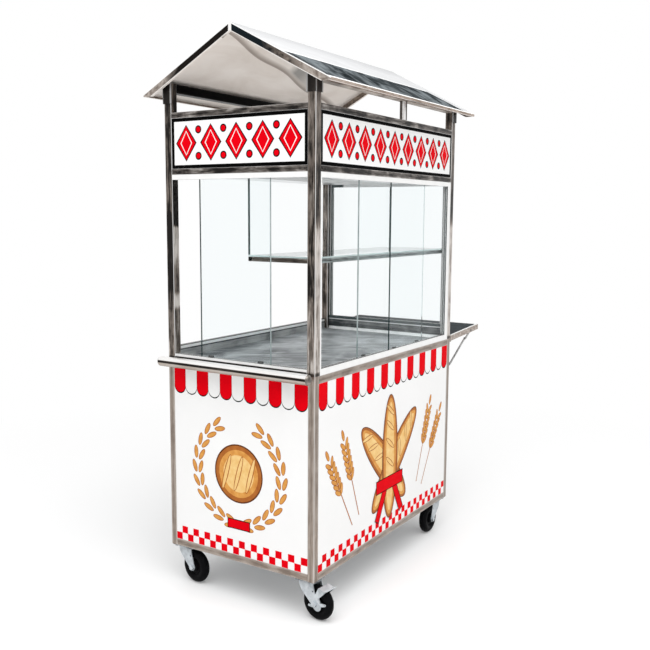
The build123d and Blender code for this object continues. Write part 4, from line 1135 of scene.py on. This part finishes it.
def seen_rays(tree):
    """1 for rays that the camera sees, straight or by way of steel and glass."""
    path = tree.nodes.new("ShaderNodeLightPath").outputs
    mirrored = Tone(path["Is Glossy Ray"]).most(Tone(path["Is Transmission Ray"]))
    return Tone(path["Is Camera Ray"]).most(mirrored)


def area_light(name, width, depth, power, place):
    """A rectangular lamp at a place, looking down."""
    lamp = bpy.data.lights.new(name, "AREA")
    lamp.shape = "RECTANGLE"
    lamp.size, lamp.size_y = width, depth
    lamp.energy = power
    holder = bpy.data.objects.new(name, lamp)
    bpy.context.scene.collection.objects.link(holder)
    holder.location = place
    return holder


bpy.ops.object.select_all(action="DESELECT")
bpy.ops.mesh.primitive_plane_add(size=60.0, location=(0.0, 0.0, 0.0))
floor = bpy.context.object
floor.name = "studio_floor"
floor_paint, shader = new_material("floor_paint", 0.0, 0.9, 0.0)
tree = floor_paint.node_tree
reach = tree.nodes.new("ShaderNodeVectorMath")
reach.operation = "LENGTH"
fill(reach.inputs[0], Tone(tree.nodes.new("ShaderNodeTexCoord").outputs["Object"]))
far = Tone(reach.outputs["Value"]).ramp(0.7, 2.8)
seen = seen_rays(tree)
fill(shader["Base Color"], (seen * far).blend((0.80, 0.80, 0.80), (0.0, 0.0, 0.0)))
fill(shader["Emission Color"], white)
fill(shader["Emission Strength"], seen * far.ramp(0.0, 1.0, 0.115, 1.0))
floor.data.materials.append(floor_paint)

world = bpy.data.worlds.new("studio")
bpy.context.scene.world = world
world.use_nodes = True
backing = world.node_tree.nodes["Background"].inputs
fill(backing["Color"], white)
fill(backing["Strength"], seen_rays(world.node_tree).ramp(0.0, 1.0, 0.8, 1.0))

softbox = area_light("overhead_softbox", 5.0, 5.0, 220.0, (cart_x - 1.95, -1.6, 5.0))
aim = Vector((cart_x, 0.0, 0.8)) - softbox.location
softbox.rotation_euler = aim.to_track_quat("-Z", "Y").to_euler()
roof_fill = area_light("roof_fill", 0.88, 0.48, 0.9, (cart_x, 0.0, board_low[2] + 0.01))
roof_fill.rotation_euler = (math.pi, 0.0, 0.0)

sensor, focal_pixels, picture_pixels = 36.0, 839.5, 650.0
camera_data = bpy.data.cameras.new("camera")
camera_data.sensor_width = sensor
camera_data.lens = sensor * focal_pixels / picture_pixels
camera = bpy.data.objects.new("camera", camera_data)
bpy.context.scene.collection.objects.link(camera)
yaw, pitch, roll = math.radians(-57.52), math.radians(7.5), math.radians(0.37)
back = Vector((math.sin(yaw) * math.cos(pitch), -math.cos(yaw) * math.cos(pitch), math.sin(pitch)))
level_right = Vector((math.cos(yaw), math.sin(yaw), 0.0))
level_up = back.cross(level_right)
right = level_right * math.cos(roll) + level_up * math.sin(roll)
up = level_up * math.cos(roll) - level_right * math.sin(roll)
camera.matrix_world = Matrix((right, up, back)).transposed().to_4x4()
camera.location = (cart_x - 2.6127, -1.6809, 1.292)
bpy.context.scene.camera = camera
bpy.context.scene.view_settings.view_transform = "Standard"
